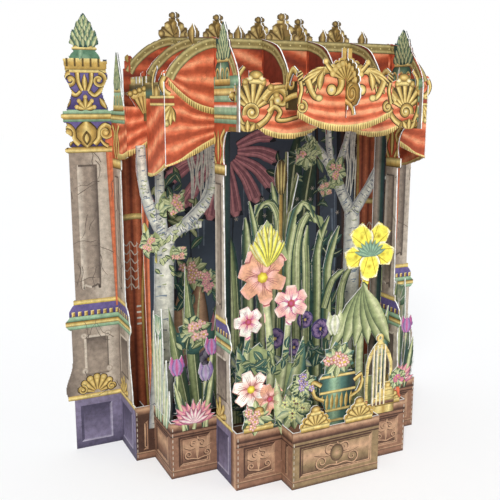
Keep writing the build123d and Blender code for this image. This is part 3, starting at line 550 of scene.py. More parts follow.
# Colours across a stroke, from one edge to the other.
RED = "cloth_dark cloth_dark cloth cloth cloth_light"
BRIGHT = "cloth_dark cloth cloth cloth_light cloth_light"
SHADED = "cloth_deep cloth_dark cloth_dark cloth"
CURTAIN = "curtain_dark curtain curtain curtain_light"
DRAPE = "cloth_dark cloth cloth_dark"
BARK = "bark_dark bark bark_light bark_light bark bark bark_dark"
LEAVES = "leaf_dark leaf leaf_light leaf leaf_dark"
BLADE = "leaf_dark leaf leaf_light leaf"
STALK = "leaf_dark leaf_light leaf"
DIM_LEAF = "teal_dark leaf_dark teal_dark"
SOIL = "brown_dark brown brown_dark"
WOOD = "brown_dark brown brown_light brown"
SAGE = "patina_dark patina patina"
GREEN_DRUM = "patina_dark patina patina_dark"
BLUES = "blue_dark blue blue"
PURPLES = "purple_dark purple purple"
RIM = "gold_dark gold_light gold"
MOULDING = "gold_dark gold_light gold gold_deep"
GILT_LEAF = "gold_dark gold gold_light gold gold_dark"
CORD = "gold_dark gold_light gold_dark"
SPIKE = "gold_deep crest gold_light crest gold_deep"
BEAD = "gold_light gold gold_deep"
PEARL = "cream gold_light gold"
TWO_GOLDS = "gold_light gold"
RAIL_GOLD = "gold_deep gold gold_light gold_dark"
APRICOT = "apricot blossom blossom_dark"
WHITE_PINK = "cream blossom blossom_dark"
TULIP = "lilac magenta purple"
BLUE_TULIP = "blue_light lilac purple"
POLLEN = "yellow yellow_dark"


def placed(s, points, middle=0.0):
    """The points, mirrored where s is -1, and moved to a middle."""
    return [(middle + s * h, z) for h, z in points]


def ordered(s, h0, h1):
    """Two places from the middle, in order from left to right on the half that s names."""
    return sorted((s * h0, s * h1))


def stack(p, h0, h1, rows):
    """Bands one above another: each row is (foot, top, colours, level)."""
    for z0, z1, names, level in rows:
        p.band(h0, z0, h1, z1, names, level)


def each(draw, p, rows):
    """Draws one ornament for each row of its arguments."""
    for row in rows:
        draw(p, *row)


def gilt(p, points, wide, narrow, level=3):
    """Gold strip with a dark drawn edge."""
    p.ribbon(points, wide + 1.0, narrow + 0.8, "gold_deep", level - 1)
    p.ribbon(points, wide, narrow, "gold_dark gold gold_light gold", level)


def gilt_leaf(p, h0, z0, h1, z1, half, level=3, bend=0.0):
    """Gold leaf with a dark drawn edge."""
    p.leaf(h0, z0, h1, z1, half + 0.5, "gold_deep", level - 1, bend)
    p.leaf(h0, z0, h1, z1, half, GILT_LEAF, level, bend)


def gilt_scroll(p, h, z, start, end, turns, wide, sense, first, level=3):
    """Spiral scroll with a bright eye."""
    p.scroll(h, z, start, end, turns, wide + 0.9, "gold_deep", level - 1, sense, first)
    p.scroll(h, z, start, end, turns, wide, "gold_dark gold gold_light", level, sense, first)
    p.disc(h, z, max(end, 0.8), max(end, 0.8), TWO_GOLDS, level)


def palmette(p, h, z, r, count, spread=150.0, level=3):
    """Fan of gold leaves with round tips: the outer ones are shorter."""
    for i in range(count):
        lean = (i / (count - 1) - 0.5) * 2
        a = np.radians(90 - lean * spread / 2)
        reach = r * (1 - 0.22 * abs(lean))
        tip = (h + reach * np.cos(a), z + reach * np.sin(a))
        gilt_leaf(p, h, z, tip[0], tip[1], r * 0.15, level)
        p.disc(tip[0] - np.cos(a) * r * 0.16, tip[1] - np.sin(a) * r * 0.16, r * 0.14, r * 0.15, TWO_GOLDS, level + 1)


def scallop(p, h, z, r, lobes, spread=170.0, level=2, names="gold_deep gold gold_light"):
    """Scallop shell with a dark edge and a bead at the end of each rib."""
    dark, middle, light = names.split()
    p.shell(h, z, r * 1.05, lobes, ("gold_deep", dark), level - 1, spread + 4)
    p.shell(h, z, r, lobes, names, level, spread)
    for i in range(lobes):
        a = np.radians(90 - spread / 2 + spread * (i + 0.5) / lobes)
        p.disc(h + r * 0.86 * np.cos(a), z + r * 0.86 * np.sin(a), r * 0.15, r * 0.15, (light, middle), level + 1)


def artichoke(p, h, z, tall, half, level=1):
    """Eight rows of overlapping pointed leaves that close to a tip, fewer in a row as they rise."""
    p.leaf(h, z - 1, h, z + tall + 1, half * 1.14, "teal_dark", level, blunt=0.5)
    for row in range(7, -1, -1):
        low = z + tall * (0.1 * row - 0.04)
        wide = half * 1.12 * (1 - row / 10.5)
        count = 5 if row < 3 else 4 if row < 6 else 3
        for i in range(count):
            lean = (i + 0.5 * (row % 2)) / (count - 0.5) * 2 - 0.88
            root, tip = h + lean * wide * 0.72, h + lean * wide * 1.02
            p.leaf(root, low, tip, low + tall * 0.27, half * 0.3, "teal_dark", level + 1)
            p.leaf(root, low, tip, low + tall * 0.25, half * 0.23, "teal leaf_dark leaf_light leaf teal", level + 2)


def ledge(p, h0, h1):
    """Moulded ledge: green, gold, green, a row of dentils on purple and a yellow lip."""
    stack(p, h0, h1, ((LEDGE, LEDGE + 2.2, SAGE, 1), (LEDGE + 2.2, LEDGE + 5.4, MOULDING, 1),
                      (LEDGE + 5.4, LEDGE + 8.4, SAGE, 1), (LEDGE + 8.4, LEDGE + 16.6, PURPLES, 1)))
    for h in np.arange(h0 + 1.6, h1 - 1.0, 4.0):
        p.panel(h, LEDGE + 8.4, h + 2.2, LEDGE + 11.6, 0.6, "gold_light", "gold_dark", 2, "gold")
    p.band(h0, LEDGE + 16.2, h1, LEDGE + 19.0, "yellow_dark gold_light gold", 2)


def stone_shade(p, h0, z0, h1, z1):
    """Stone between two edges: darker to the sides."""
    p.upright(h0, z0, h1, z1, "stone_dark stone stone stone_light stone", 0)


def sunk_panel(p, h0, z0, h1, z1, rim=1.2):
    """Recess with a round foot: a lit left lip, a shaded field and a dark right lip."""
    mid, half = (h0 + h1) / 2, (h1 - h0) / 2
    p.disc(mid, z0 + half, half, half, "stone", 1)
    p.upright(h0, z0 + half, h1, z1, "stone_light stone stone stone_dark", 1)
    for h, inwards, name in ((h0, half * 0.3, "stone_light"), (h1, -half * 0.3, "stone_dark")):
        p.ribbon([(h, z1), (h, z0 + half), (h + inwards, z0 + half * 0.3), (mid, z0)], rim, rim, name, 2)
    p.band(h0, z1 - rim, h1, z1, "stone_dark", 2)


def cracks(p, h0, z0, h1, z1, count, seed):
    """Fine wandering cracks, the same each time for one seed."""
    rng = np.random.default_rng(seed)
    for _ in range(count):
        h, z = rng.uniform(h0, h1), rng.uniform(z0, z1)
        a = rng.uniform(0, 2 * np.pi)
        points = [(h, z)]
        for _ in range(4):
            a += rng.uniform(-0.8, 0.8)
            h, z = h + 4 * np.cos(a), z + 4 * np.sin(a)
            points.append((h, z))
        p.ribbon(points, 0.5, 0.2, "stone_dark", 3, 2)


def carved_scrolls(p, h, size, light):
    """Pair of scrolls cut into a panel: drawn dark, then light a little up and to the right."""
    for off, name, level in ((0.0, "brown_dark", 3), (0.45, light, 4)):
        x, z = h + off, off
        for s in (-1, 1):
            p.scroll(x + s * size * 0.62, 13.2 + z, size * 0.27, 0.5, 1.4, 0.85, name, level, s, -90)
            p.scroll(x + s * size * 0.3, 20.2 + z, size * 0.2, 0.4, 1.2, 0.7, name, level, -s, 90)
            for points, wide, narrow in (
                    (((0, 9.6), (0.34, 10.4), (0.62, 13.2 - size * 0.27)), 0.8, 0.6),
                    (((0.3, 20.2 + size * 0.2), (0.08, 22.4), (0, 24.4)), 0.7, 0.5),
                    (((0.14, 17.4), (0.5, 16.8), (0.9, 18.6)), 0.7, 0.4)):
                p.ribbon([(x + s * size * along, up + z) for along, up in points], wide, narrow, name, level, 4)
    p.leaf(h, 10, h, 24, 1.0, light, 4)


def planter_front(p, h0, h1, wood="brown", ornament=None):
    """Planter face: rail with a lit upper edge, moulded panel and plinth; ornament is (middle, size)."""
    dark, light = "brown_dark", "brown_light"
    stack(p, h0, h1, ((0, 4.4, (dark, wood, wood), 0), (4.0, 5.2, (dark, light), 1),
                      (RAIL - 5.6, RAIL, (dark, wood, light, wood), 1), (RAIL - 6.6, RAIL - 5.4, dark, 2),
                      (RAIL - 9.2, RAIL - 8.2, dark, 1)))
    p.panel(h0 + 4.6, 6.6, h1 - 4.6, 26.4, 1.3, dark, (wood, light), 2, (dark, wood, light, wood))
    p.panel(h0 + 6.4, 8.2, h1 - 6.4, 24.8, 0.6, dark, light, 3)
    if ornament:
        carved_scrolls(p, *ornament, light)


def fold_dashes(p, h, top=34):
    """White dashes where the fold breaks the print."""
    for z in np.arange(2, top - 1.6, 3.6):
        p.band(h - 0.25, z, h + 0.25, z + 2.0, "stone_light", 6)


def rail_shell(p, c, level):
    """Gold shell on the planter's rail, with its bar, its bun and the neck between them."""
    scallop(p, c, 37.5, 8.4, 7, 186, level)
    p.band(c - 9.4, 35, c + 9.4, 38.6, RAIL_GOLD, level + 2)
    p.disc(c, 48.2, 3.4, 2.4, BEAD, level + 2)
    p.band(c - 3.2, 44.6, c + 3.2, 47.0, RIM, level + 2)


def roof_band(p, path, wide, level=2):
    """Band along the roof edge, with raised rims and a row of beads."""
    p.ribbon(path, wide, wide, "olive_dark olive_light olive olive olive_light olive_dark", level, 6)
    line = smooth_path(path, 8)
    length = run_length(line)
    for s in np.arange(3.25, length[-1], 6.5):
        h, z = np.interp(s, length, line[:, 0]), np.interp(s, length, line[:, 1])
        p.disc(h, z, 0.75, 0.75, "gold_light olive_light olive_dark", level + 1)


def roof_path(roof, inset, size=1.0, lean=1):
    """Places along the roof edge of a tier, from its side to its middle, moved inwards."""
    line = [(h * size - inset * (0.1 + 0.9 * (i / 5) ** 1.2), roof - d - inset * (1 - 0.45 * (i / 5)))
            for i, (h, d) in enumerate(ROOF_SIDE)]
    return [(lean * h, z) for h, z in line[::-1]] + [(lean * 28, roof - inset), (0, roof - inset)]


def folds(count, slant=0.0, seed=0):
    """Shade of hanging cloth: a sine of the way down, bent a little by slower ones, with one light crest a fold."""
    def shade(u, v):
        wave = v * count + slant * u + 0.07 * np.sin(2.6 * u + seed) + 0.05 * np.sin(7 * u + 4 * v + seed)
        return 0.5 + 0.46 * np.sin(2 * np.pi * wave) + 0.06 * np.sin(19 * u + 7 * v + seed)
    return shade


def drapes(count, seed=0):
    """Shade of a curtain: a sine of the way across for count upright folds, a little darker towards the floor."""
    def shade(u, v):
        return 0.48 + 0.44 * np.sin(2 * np.pi * (u * count + 0.12 * np.sin(3 * v + seed))) - 0.1 * v
    return shade


def roof_cloth(p, s, across, heights, names, fold, level):
    """Shaded cloth under the roof of one half: a plain field from its upper height to its lower one."""
    top, bottom = (placed(s, [(h, z) for h in across]) for z in heights)
    p.cloth(top, bottom, names, fold, level, 60, 30)


def drawn_leaf(p, h0, z0, h1, z1, half, names, level=1, bend=0.0):
    """Leaf with a dark drawn edge and a light midrib."""
    p.leaf(h0, z0, h1, z1, half + 0.45, "teal_dark", level, bend)
    p.leaf(h0, z0, h1, z1, half, names, level + 1, bend)
    p.leaf(h0, z0, h0 + (h1 - h0) * 0.9, z0 + (z1 - z0) * 0.9, half * 0.12, "leaf_light", level + 1, bend)


def foliage(p, h0, z0, h1, z1, count, seed, names="teal_dark teal leaf_dark leaf", size=7.0, level=1):
    """Seeded scatter of pointed leaves over an area."""
    rng = np.random.default_rng(seed)
    names = names.split()
    for _ in range(count):
        h, z = rng.uniform(h0, h1), rng.uniform(z0, z1)
        a = rng.uniform(0.1, np.pi - 0.1)
        r = size * rng.uniform(0.6, 1.3)
        tone = rng.integers(0, len(names) - 1)
        drawn_leaf(p, h, z, h + r * np.cos(a), z + r * np.sin(a), r * 0.2, (names[tone], names[tone + 1], names[tone]),
                   level + int(rng.integers(0, 3)), rng.uniform(-1, 1))


def flower(p, h, z, r, petals, names, heart, turn=0.0, level=2):
    """Open flower: overlapping round petals, light at the rim, with a dark edge and veins round a heart."""
    light, middle, dark = names.split()
    p.disc(h, z, r * 1.2, r * 1.2, (dark, middle), level - 1)
    for i in range(petals):
        a = np.radians(turn + 360 * (i + 0.5) / petals)
        c, d = np.cos(a), np.sin(a)
        wide = r * 2.5 / petals
        p.leaf(h, z, h + r * 1.16 * c, z + r * 1.16 * d, wide * 1.1, dark, level + i % 2, 0, False, 0.5)
        p.leaf(h, z, h + r * 1.1 * c, z + r * 1.1 * d, wide, (dark, middle, light, light, middle),
               level + 1 + i % 2, 0, True, 0.55)
        for lean in (-0.16, 0.0, 0.16):
            p.ribbon([(h, z), (h + r * 0.72 * np.cos(a + lean), z + r * 0.72 * np.sin(a + lean))], 0.5, 0.2, dark,
                     level + 3, 2)
    p.disc(h, z, r * 0.22, r * 0.22, heart, level + 4, lobes=7)


def cluster(p, h, z, r, count, names, heart, seed, level=3):
    """Spray of small five-petalled flowers on a rosette of leaves."""
    rng = np.random.default_rng(seed)
    greens = ("leaf_dark leaf leaf_light", "teal_dark leaf leaf_light", "teal leaf_light leaf")
    for i in range(20):
        a = 2 * np.pi * i / 20 + rng.uniform(-0.2, 0.2)
        d = r * rng.uniform(0.0, 0.4)
        x, y = h + d * np.cos(a), z + d * np.sin(a)
        reach = r * rng.uniform(0.6, 0.95)
        drawn_leaf(p, x, y, x + reach * np.cos(a), y + reach * np.sin(a), reach * 0.26, greens[i % 3],
                   level - 1 + i % 2)
    for _ in range(count):
        a, d = rng.uniform(0, 2 * np.pi), r * rng.uniform(0.1, 0.8)
        x, y, turn = h + d * np.cos(a), z + d * np.sin(a), rng.uniform(0, 72)
        for i in range(5):
            b = np.radians(turn + 72 * i)
            p.disc(x + r * 0.15 * np.cos(b), y + r * 0.15 * np.sin(b), r * 0.14, r * 0.1, names, level + 2,
                   np.degrees(b))
        p.disc(x, y, r * 0.06, r * 0.06, heart, level + 3)


def tree_bark(p, path, wide, narrow, seed):
    """Pale bark with short dark cross marks, two to each step along the limb."""
    p.ribbon(path, wide * 1.1, narrow * 1.15, BARK, 2, 10)
    line = smooth_path(path, 10)
    rng = np.random.default_rng(seed)
    run = np.gradient(line, axis=0)
    run /= np.maximum(np.linalg.norm(run, axis=1, keepdims=True), 1e-6)
    marks = ("bark_dark", "bark_dark", "bark", "bark_light", "slate", "leaf")
    for i in range(1, len(line) - 1):
        t = i / len(line)
        across = np.array([-run[i, 1], run[i, 0]]) * (wide + (narrow - wide) * t) / 2
        for _ in range(2):
            half, off = rng.uniform(0.15, 0.6), rng.uniform(-0.6, 0.6)
            middle = line[i] + across * off + run[i] * rng.uniform(-1.5, 1.5)
            bow = run[i] * rng.uniform(-0.6, 0.6)
            tone = marks[rng.integers(0, 6)]
            p.ribbon([tuple(middle - across * half), tuple(middle + bow), tuple(middle + across * half)],
                     rng.uniform(0.5, 1.3), 0.3, tone, 3, 2)


def tulip(p, h, z, r, root, names, level=3):
    """Tulip cup of overlapping petals on a curved stem."""
    light, middle, dark = names.split()
    p.ribbon([root, ((root[0] + h) / 2, (root[1] + z) / 2), (h, z)], 2.4, 2.0, STALK, level)
    for s in (-1, 1):
        p.leaf(h + s * r * 0.28, z, h + s * r * 0.5, z + r * 1.9, r * 0.38, (dark, middle, light), level + 1)
    p.leaf(h, z - 0.5, h, z + r * 1.75, r * 0.5, (dark, light, middle, light, dark), level + 2)


def crest_print(p, h, roof, size, level=3):
    """Shell, neck, bun and scrolled feet on the roof."""
    r = 7.8 * size
    bun = "gold_light crest gold_deep"
    p.band(h - r * 1.6, roof + 0.2, h + r * 1.6, roof + r * 1.3, "gold_deep gold_dark", level - 1)
    p.shell(h, roof - 0.5, r * 1.14, 5, "gold_deep crest gold_light", level, 176)
    for i in range(5):
        a = np.radians(90 - 88 + 176 * (i + 0.5) / 5)
        p.disc(h + r * 1.06 * np.cos(a), roof - 0.5 + r * 1.06 * np.sin(a), r * 0.22, r * 0.22, "gold_light crest",
               level + 1)
    for s in (-1, 1):
        p.disc(h + s * r * 1.12, roof + 1.6 * size, 2.4 * size, 2.4 * size, bun, level + 1)
    p.band(h - 3.6 * size, roof + r + 1.0, h + 3.6 * size, roof + 11.0 * size, "gold_deep crest gold_light crest",
           level + 2)
    p.disc(h, roof + 12.9 * size, 3.6 * size, 2.2 * size, bun, level + 2)


def bracket_band(p, h0, h1):
    """Dark red band between two gold ones, under a bracket."""
    p.band(h0, 223.4, h1, 228.2, "cloth_deep cloth_dark", 5)
    for z in (223.0, 227.0):
        p.band(h0, z, h1, z + 1.6, RIM, 6)


def arch(p, h, foot, shoulder, crown, wide, level):
    """Small gold arch, four grid units wide."""
    path = [(h - 2, foot), (h - 1.8, shoulder), (h, crown), (h + 1.8, shoulder), (h + 2, foot)]
    p.ribbon(path, wide, wide, "gold_dark gold_light", level, 4)


def wing_pilaster(p, s):
    """Wide pillar of the back panel: panelled base, sunk shaft, scrolled capital, vase, coronet, dome."""
    m = s * -115.8
    a, b = ordered(s, -135.5, -99.6)
    stone_shade(p, a, 36, b, 83)
    stone_shade(p, a, 100, b, 196)
    for h0, z0, h1, z1, count, seed in ((-127, 104, -101, 192, 16, 3), (-130, 40, -101, 80, 9, 5)):
        left, right = ordered(s, h0, h1)
        cracks(p, left, z0, right, z1, count, seed)
    p.band(a, 0, b, 34.6, BLUES, 0)
    left, right = ordered(s, -127, -106.5)
    p.panel(left, 4.5, right, 29.5, 1.7, "blue_dark", "blue_light blue", 1, "blue blue_dark")
    p.band(a, 34.0, b, 37.2, RIM, 2)
    ledge(p, a, b)
    left, right = ordered(s, -122, -111)
    sunk_panel(p, left, 109, right, 187)
    p.quad(placed(s, ((-104.8, 206), (-99.5, 206), (-99.5, 95), (-101.5, 95))),
           "curtain curtain_light cloth curtain_light curtain", 2)
    for h, z in ((-123, 53), (-123, 77), (-107.5, 77), (-107.5, 53)):
        p.disc(s * h, z, 2.2, 2.2, "stone stone_light stone", 2)
    left, right = ordered(s, -123, -107.5)
    p.panel(left, 50, right, 77, 1.5, "stone_light", "stone_dark stone", 1, "stone stone stone_dark")
    scallop(p, m, 37.6, 12.6, 7, 168, 4)
    for k in (-1, 1):
        gilt_scroll(p, m + k * 9.4, 40.4, 2.8, 0.8, 1.1, 1.5, k, 90, 6)
    stack(p, a, b, ((194.4, 198.2, MOULDING, 3), (198, 213.6, PURPLES, 1)))
    for z0, z1, half, names, level in (
            (197, 214.5, 7.6, "gold_deep", 2), (197.6, 213.6, 6.8, GILT_LEAF, 3),
            (199.0, 207.6, 2.8, "gold_dark gold_deep gold_dark", 4), (200.4, 205.8, 1.2, "gold gold_light", 5)):
        p.leaf(m, z0, m, z1, half, names, level)
    for k in (-1, 1):
        gilt(p, placed(k, ((4.6, 199.4), (7.6, 203), (8.4, 208), (11.6, 210.8), (14.4, 208.6), (13.4, 205.4)), m),
             3.0, 3.4, 4)
        gilt_scroll(p, m + k * 11.6, 206.6, 4.2, 1.4, 1.1, 2.6, -k, 90, 5)
        p.disc(m + k * 11.6, 206.4, 1.7, 1.7, TWO_GOLDS, 6)
        gilt(p, placed(k, ((13, 198), (10.4, 199.6), (8.6, 202)), m), 2.2, 1.2, 4)
    stack(p, a, b, ((213.2, 215.0, "patina_dark patina", 3), (214.6, 218.0, "gold_dark gold gold_light gold_dark", 4),
                    (217.8, 220.4, SAGE, 3)))
    p.band(m - 14, 220, m + 14, 243, PURPLES, 1)
    palmette(p, m, 220.6, 8.8, 5, 150, 4)
    for k in (-1, 1):
        gilt_scroll(p, m + k * 8.6, 238.0, 4.4, 1.2, 1.2, 2.4, -k, 90, 5)
        gilt(p, placed(k, ((12.6, 236), (9.0, 231.6), (5.6, 229.0), (2.4, 231.6)), m), 2.8, 1.8)
        gilt_leaf(p, m + k * 12.6, 221.0, m + k * 8.8, 227.4, 1.5)
        gilt(p, placed(k, ((4.2, 242.4), (3.8, 237), (1.6, 231.6)), m), 2.4, 1.8, 4)
    gilt_leaf(p, m, 231.5, m, 241.5, 1.5, 4)
    stack(p, m - 14, m + 14, ((242.6, 250.8, "gold_deep gold gold gold_light", 2),
                              (242.4, 244.4, "gold gold_light gold_dark", 3)))
    for i in range(5):
        p.upright(m - 10.6 + i * 4.7, 246, m - 9.4 + i * 4.7, 250.8, "gold_deep gold_dark", 3)
    p.disc(m, 250, 10.6, 7.8, "patina patina_dark patina_dark", 1)
    p.leaf(m - 2.4, 250, m - 1.0, 257.5, 1.6, GREEN_DRUM, 2)
    p.band(m - 8, 255.8, m + 8, 259.2, MOULDING, 4)
    artichoke(p, m, 258.2, 19.6, 7.6, 4)


def draw_rear():
    """Rear of the card: thin double gilt frame, small palmette with scrolls and four writing lines."""
    p = Print("print_rear", "y", BACK_Y, -1)
    for inset, wide, tone in ((0.0, 1.6, "gold_dark"), (3.4, 0.7, "gold")):
        a, low, high = 94 - inset, 10 + inset, 206 - inset
        for s in (-1, 1):
            p.upright(s * a - wide / 2, low, s * a + wide / 2, high, tone)
        for z in (low, high):
            p.band(-a, z - wide / 2, a, z + wide / 2, tone)
    palmette(p, 0, 150, 16, 7, 170, 3)
    for s in (-1, 1):
        gilt_scroll(p, s * 13, 146, 6.5, 1.6, 1.3, 2.8, -s, 90, 3)
        gilt_leaf(p, s * 20, 150, s * 34, 146, 2.2, 3, s * 1.5)
    for z in (112, 98, 84, 70):
        p.band(-56, z, 56, z + 0.7, "stone")
    p.build("back_panel")


def night_sky(p, rng):
    """Seeded upright strokes, dark trunks, broad dim leaves and small stars of three lines."""
    for _ in range(90):
        h, z, w = rng.uniform(-80, 80), rng.uniform(60, 200), rng.uniform(1.0, 4.0)
        tone = ("slate", "sky", "sky_dark")[rng.integers(0, 3)]
        p.ribbon([(h, z), (h + rng.uniform(-2, 2), z - rng.uniform(20, 60))], w, w * 0.4, ("sky", tone, "sky"), 0, 6)
    for h, w in ((-66, 7), (30, 5), (46, 4), (66, 11), (78, 6)):
        p.ribbon([(h, 20), (h + 2, 110), (h - 2, 219)], w, w * 0.6, "black brown_dark sky_dark black", 1, 24)
    for h0, z0, h1, z1, half in ((24, 110, 30, 206, 8), (34, 120, 44, 196, 6), (-6, 100, 2, 160, 7),
                                 (14, 96, 12, 172, 6)):
        drawn_leaf(p, h0, z0, h1, z1, half, DIM_LEAF, 1, 2)
    stars = [(-16.8, 146.0), (40.6, 156.6), (42.1, 164.5), (49.2, 140.7)]
    stars += [(rng.uniform(-78, 78), rng.uniform(70, 200)) for _ in range(36)]
    for h, z in stars:
        for a in (0, 60, 120):
            c, d = 1.6 * np.cos(np.radians(a)), 1.6 * np.sin(np.radians(a))
            p.ribbon([(h - c, z - d), (h + c, z + d)], 0.45, 0.3, "stone_light", 2, 2)


def dusk_petals(p):
    """Eight long petals round a point: each widens to a pointed end and has three veins."""
    h, z = -24.7, 193.5
    for angle, reach, bow in ((16, 34, 5), (-10, 37, 4), (-36, 41.5, 4), (-57, 40.5, 3), (-80.5, 43, 1), (-104, 45, -1),
                              (-130, 45, -3), (-156, 42, -4)):
        c, d = np.cos(np.radians(angle)), np.sin(np.radians(angle))
        root, tip = (h + 9 * c, z + 9 * d), (h + reach * c, z + reach * d)
        mid = ((root[0] + tip[0]) / 2 + bow * 0.5, (root[1] + tip[1]) / 2 + abs(bow) * 0.5)
        end = (tip[0] + 3.4 * c, tip[1] + 3.4 * d)
        p.ribbon([root, mid, tip, end], 5.4, 11.4, "sky_dark", 1, 8, keep=0.6)
        p.leaf(*mid, *end, 5.0, "rose_dark rose rose rose_dark", 2, blunt=0.35)
        p.ribbon([root, mid, tip], 4.0, 10.2, "rose_dark rose rose rose_dark rose rose_dark", 2, 8, keep=0.6)
        for side in (-2.4, 0.2, 2.6):
            p.ribbon([root, (mid[0] - side * d * 0.6, mid[1] + side * c * 0.6), (tip[0] - side * d, tip[1] + side * c)],
                     0.4, 0.5, "rose_dark", 3, 5)


def undergrowth(p):
    """Seeded leaves low on the sky, broad brown and rose leaves, sprays and blue flowers."""
    foliage(p, -80, 20, 80, 84, 150, 21, "teal_dark teal leaf_dark leaf leaf_light", 12)
    for h, h1, z1, half, names in (
            (-46, -64, 74, 9, SOIL), (-44, -58, 100, 9, WOOD),
            (-42, -44, 108, 9, "brown_dark brown_light brown brown_dark"),
            (-40, -30, 92, 8, "rose_dark rose rose_dark"), (-46, -50, 66, 8, "rose_dark rose_dark rose"),
            (-38, -34, 62, 7, "stone_dark stone_light stone")):
        drawn_leaf(p, h, 22, h1, z1, half, names, 2, 3 if h1 < -42 else -3)
    cluster(p, -50, 112, 11, 9, WHITE_PINK, "yellow gold", 61, 4)
    cluster(p, -36, 104, 9, 7, "blossom blossom magenta", "cream gold", 62, 4)
    for h, z, r in ((-38, 48, 7), (-50, 40, 6), (-32, 60, 6)):
        flower(p, h, z, r, 5, "blue_light blue blue_dark", "yellow gold", 20 * r, 5)
    each(foliage, p, ((20, 84, 62, 120, 30, 22, "sky_dark teal_dark teal leaf_dark", 14),
                      (-62, 84, -20, 112, 26, 23, "teal_dark teal leaf_dark", 11),
                      (-78, 128, -44, 176, 34, 26, "teal leaf_dark leaf leaf_light", 9),
                      (14, 150, 60, 206, 34, 27, "teal_dark leaf_dark teal leaf", 9)))


def side_curtain(p, s):
    """Rear curtain with a gold edge and tie, pale looped lines and short rungs."""
    p.cloth(placed(s, ((99.8, 222), (78, 216))), placed(s, ((99.8, 20), (80, 20))), CURTAIN, drapes(3.4, 1), 3, 30, 70)
    p.ribbon(placed(s, ((78.6, 214), (80, 160), (79, 152), (84, 96), (82, 22))), 2.2, 1.6,
             "gold_dark gold gold_dark", 4, 10)
    p.ribbon(placed(s, ((99.8, 151.6), (88, 152.8), (79, 152))), 4.2, 3.6, RIM, 5)
    for i in range(6):
        z = 105 + 5.6 * i
        p.ribbon(placed(s, ((96.4, z + 4), (93.6, z + 0.8), (91, z + 3.4), (88.4, z), (86, z + 2))), 0.7, 0.7,
                 "stone_light", 5, 5)
    for h in (96.4, 91.0, 86.2):
        p.ribbon(placed(s, ((h, 104), (h + 0.6, 136))), 0.6, 0.4, "stone_light", 5, 4)
    left, right = ordered(s, 85, 88)
    for z in (92, 88, 84, 80):
        p.band(left, z, right, z + 1.2, "bark_light", 5)


def draw_back_panel():
    """Night sky with petals and stars, side curtains, rear roof, crest and both wing pilasters."""
    zones = [(-99, 219, 99, 266, "cloth_deep"), (-70, 264, 70, 290, "crest")]
    card_material("back_panel", [("y", BACK_Y, "sky", zones)], True)
    draw_rear()
    p = Print("print_back_panel", "y", BACK_Y)
    rng = np.random.default_rng(11)
    night_sky(p, rng)
    dusk_petals(p)
    # Pale strands that hang at the edges of the sky.
    for low, high in ((-50, -30), (70, 98)):
        for h in np.arange(low, high, 1.7):
            a, b = rng.uniform(-1.6, 1.6, 2)
            foot = rng.uniform(152, 172)
            p.ribbon([(h, 206), (h + a, 190), (h - a, 178), (h + b, foot)], 1.9, 0.9, "bark cream bark_light", 3, 6)
    undergrowth(p)
    for s in (-1, 1):
        side_curtain(p, s)
        wing_pilaster(p, s)
        roof_cloth(p, s, (1, 92), (262, 219), SHADED, folds(4.2, 0.9, 2), 0)
        roof_band(p, roof_path(265.5, 2.7, 1.035, s), 5.4)
        for x in (0, 29.4, 58.7):
            crest_print(p, s * x, 265.5, 1.0)
        p.disc(s * 88.6, 251.4, 2.3, 2.3, "gold olive", 3)
    p.build("back_panel")


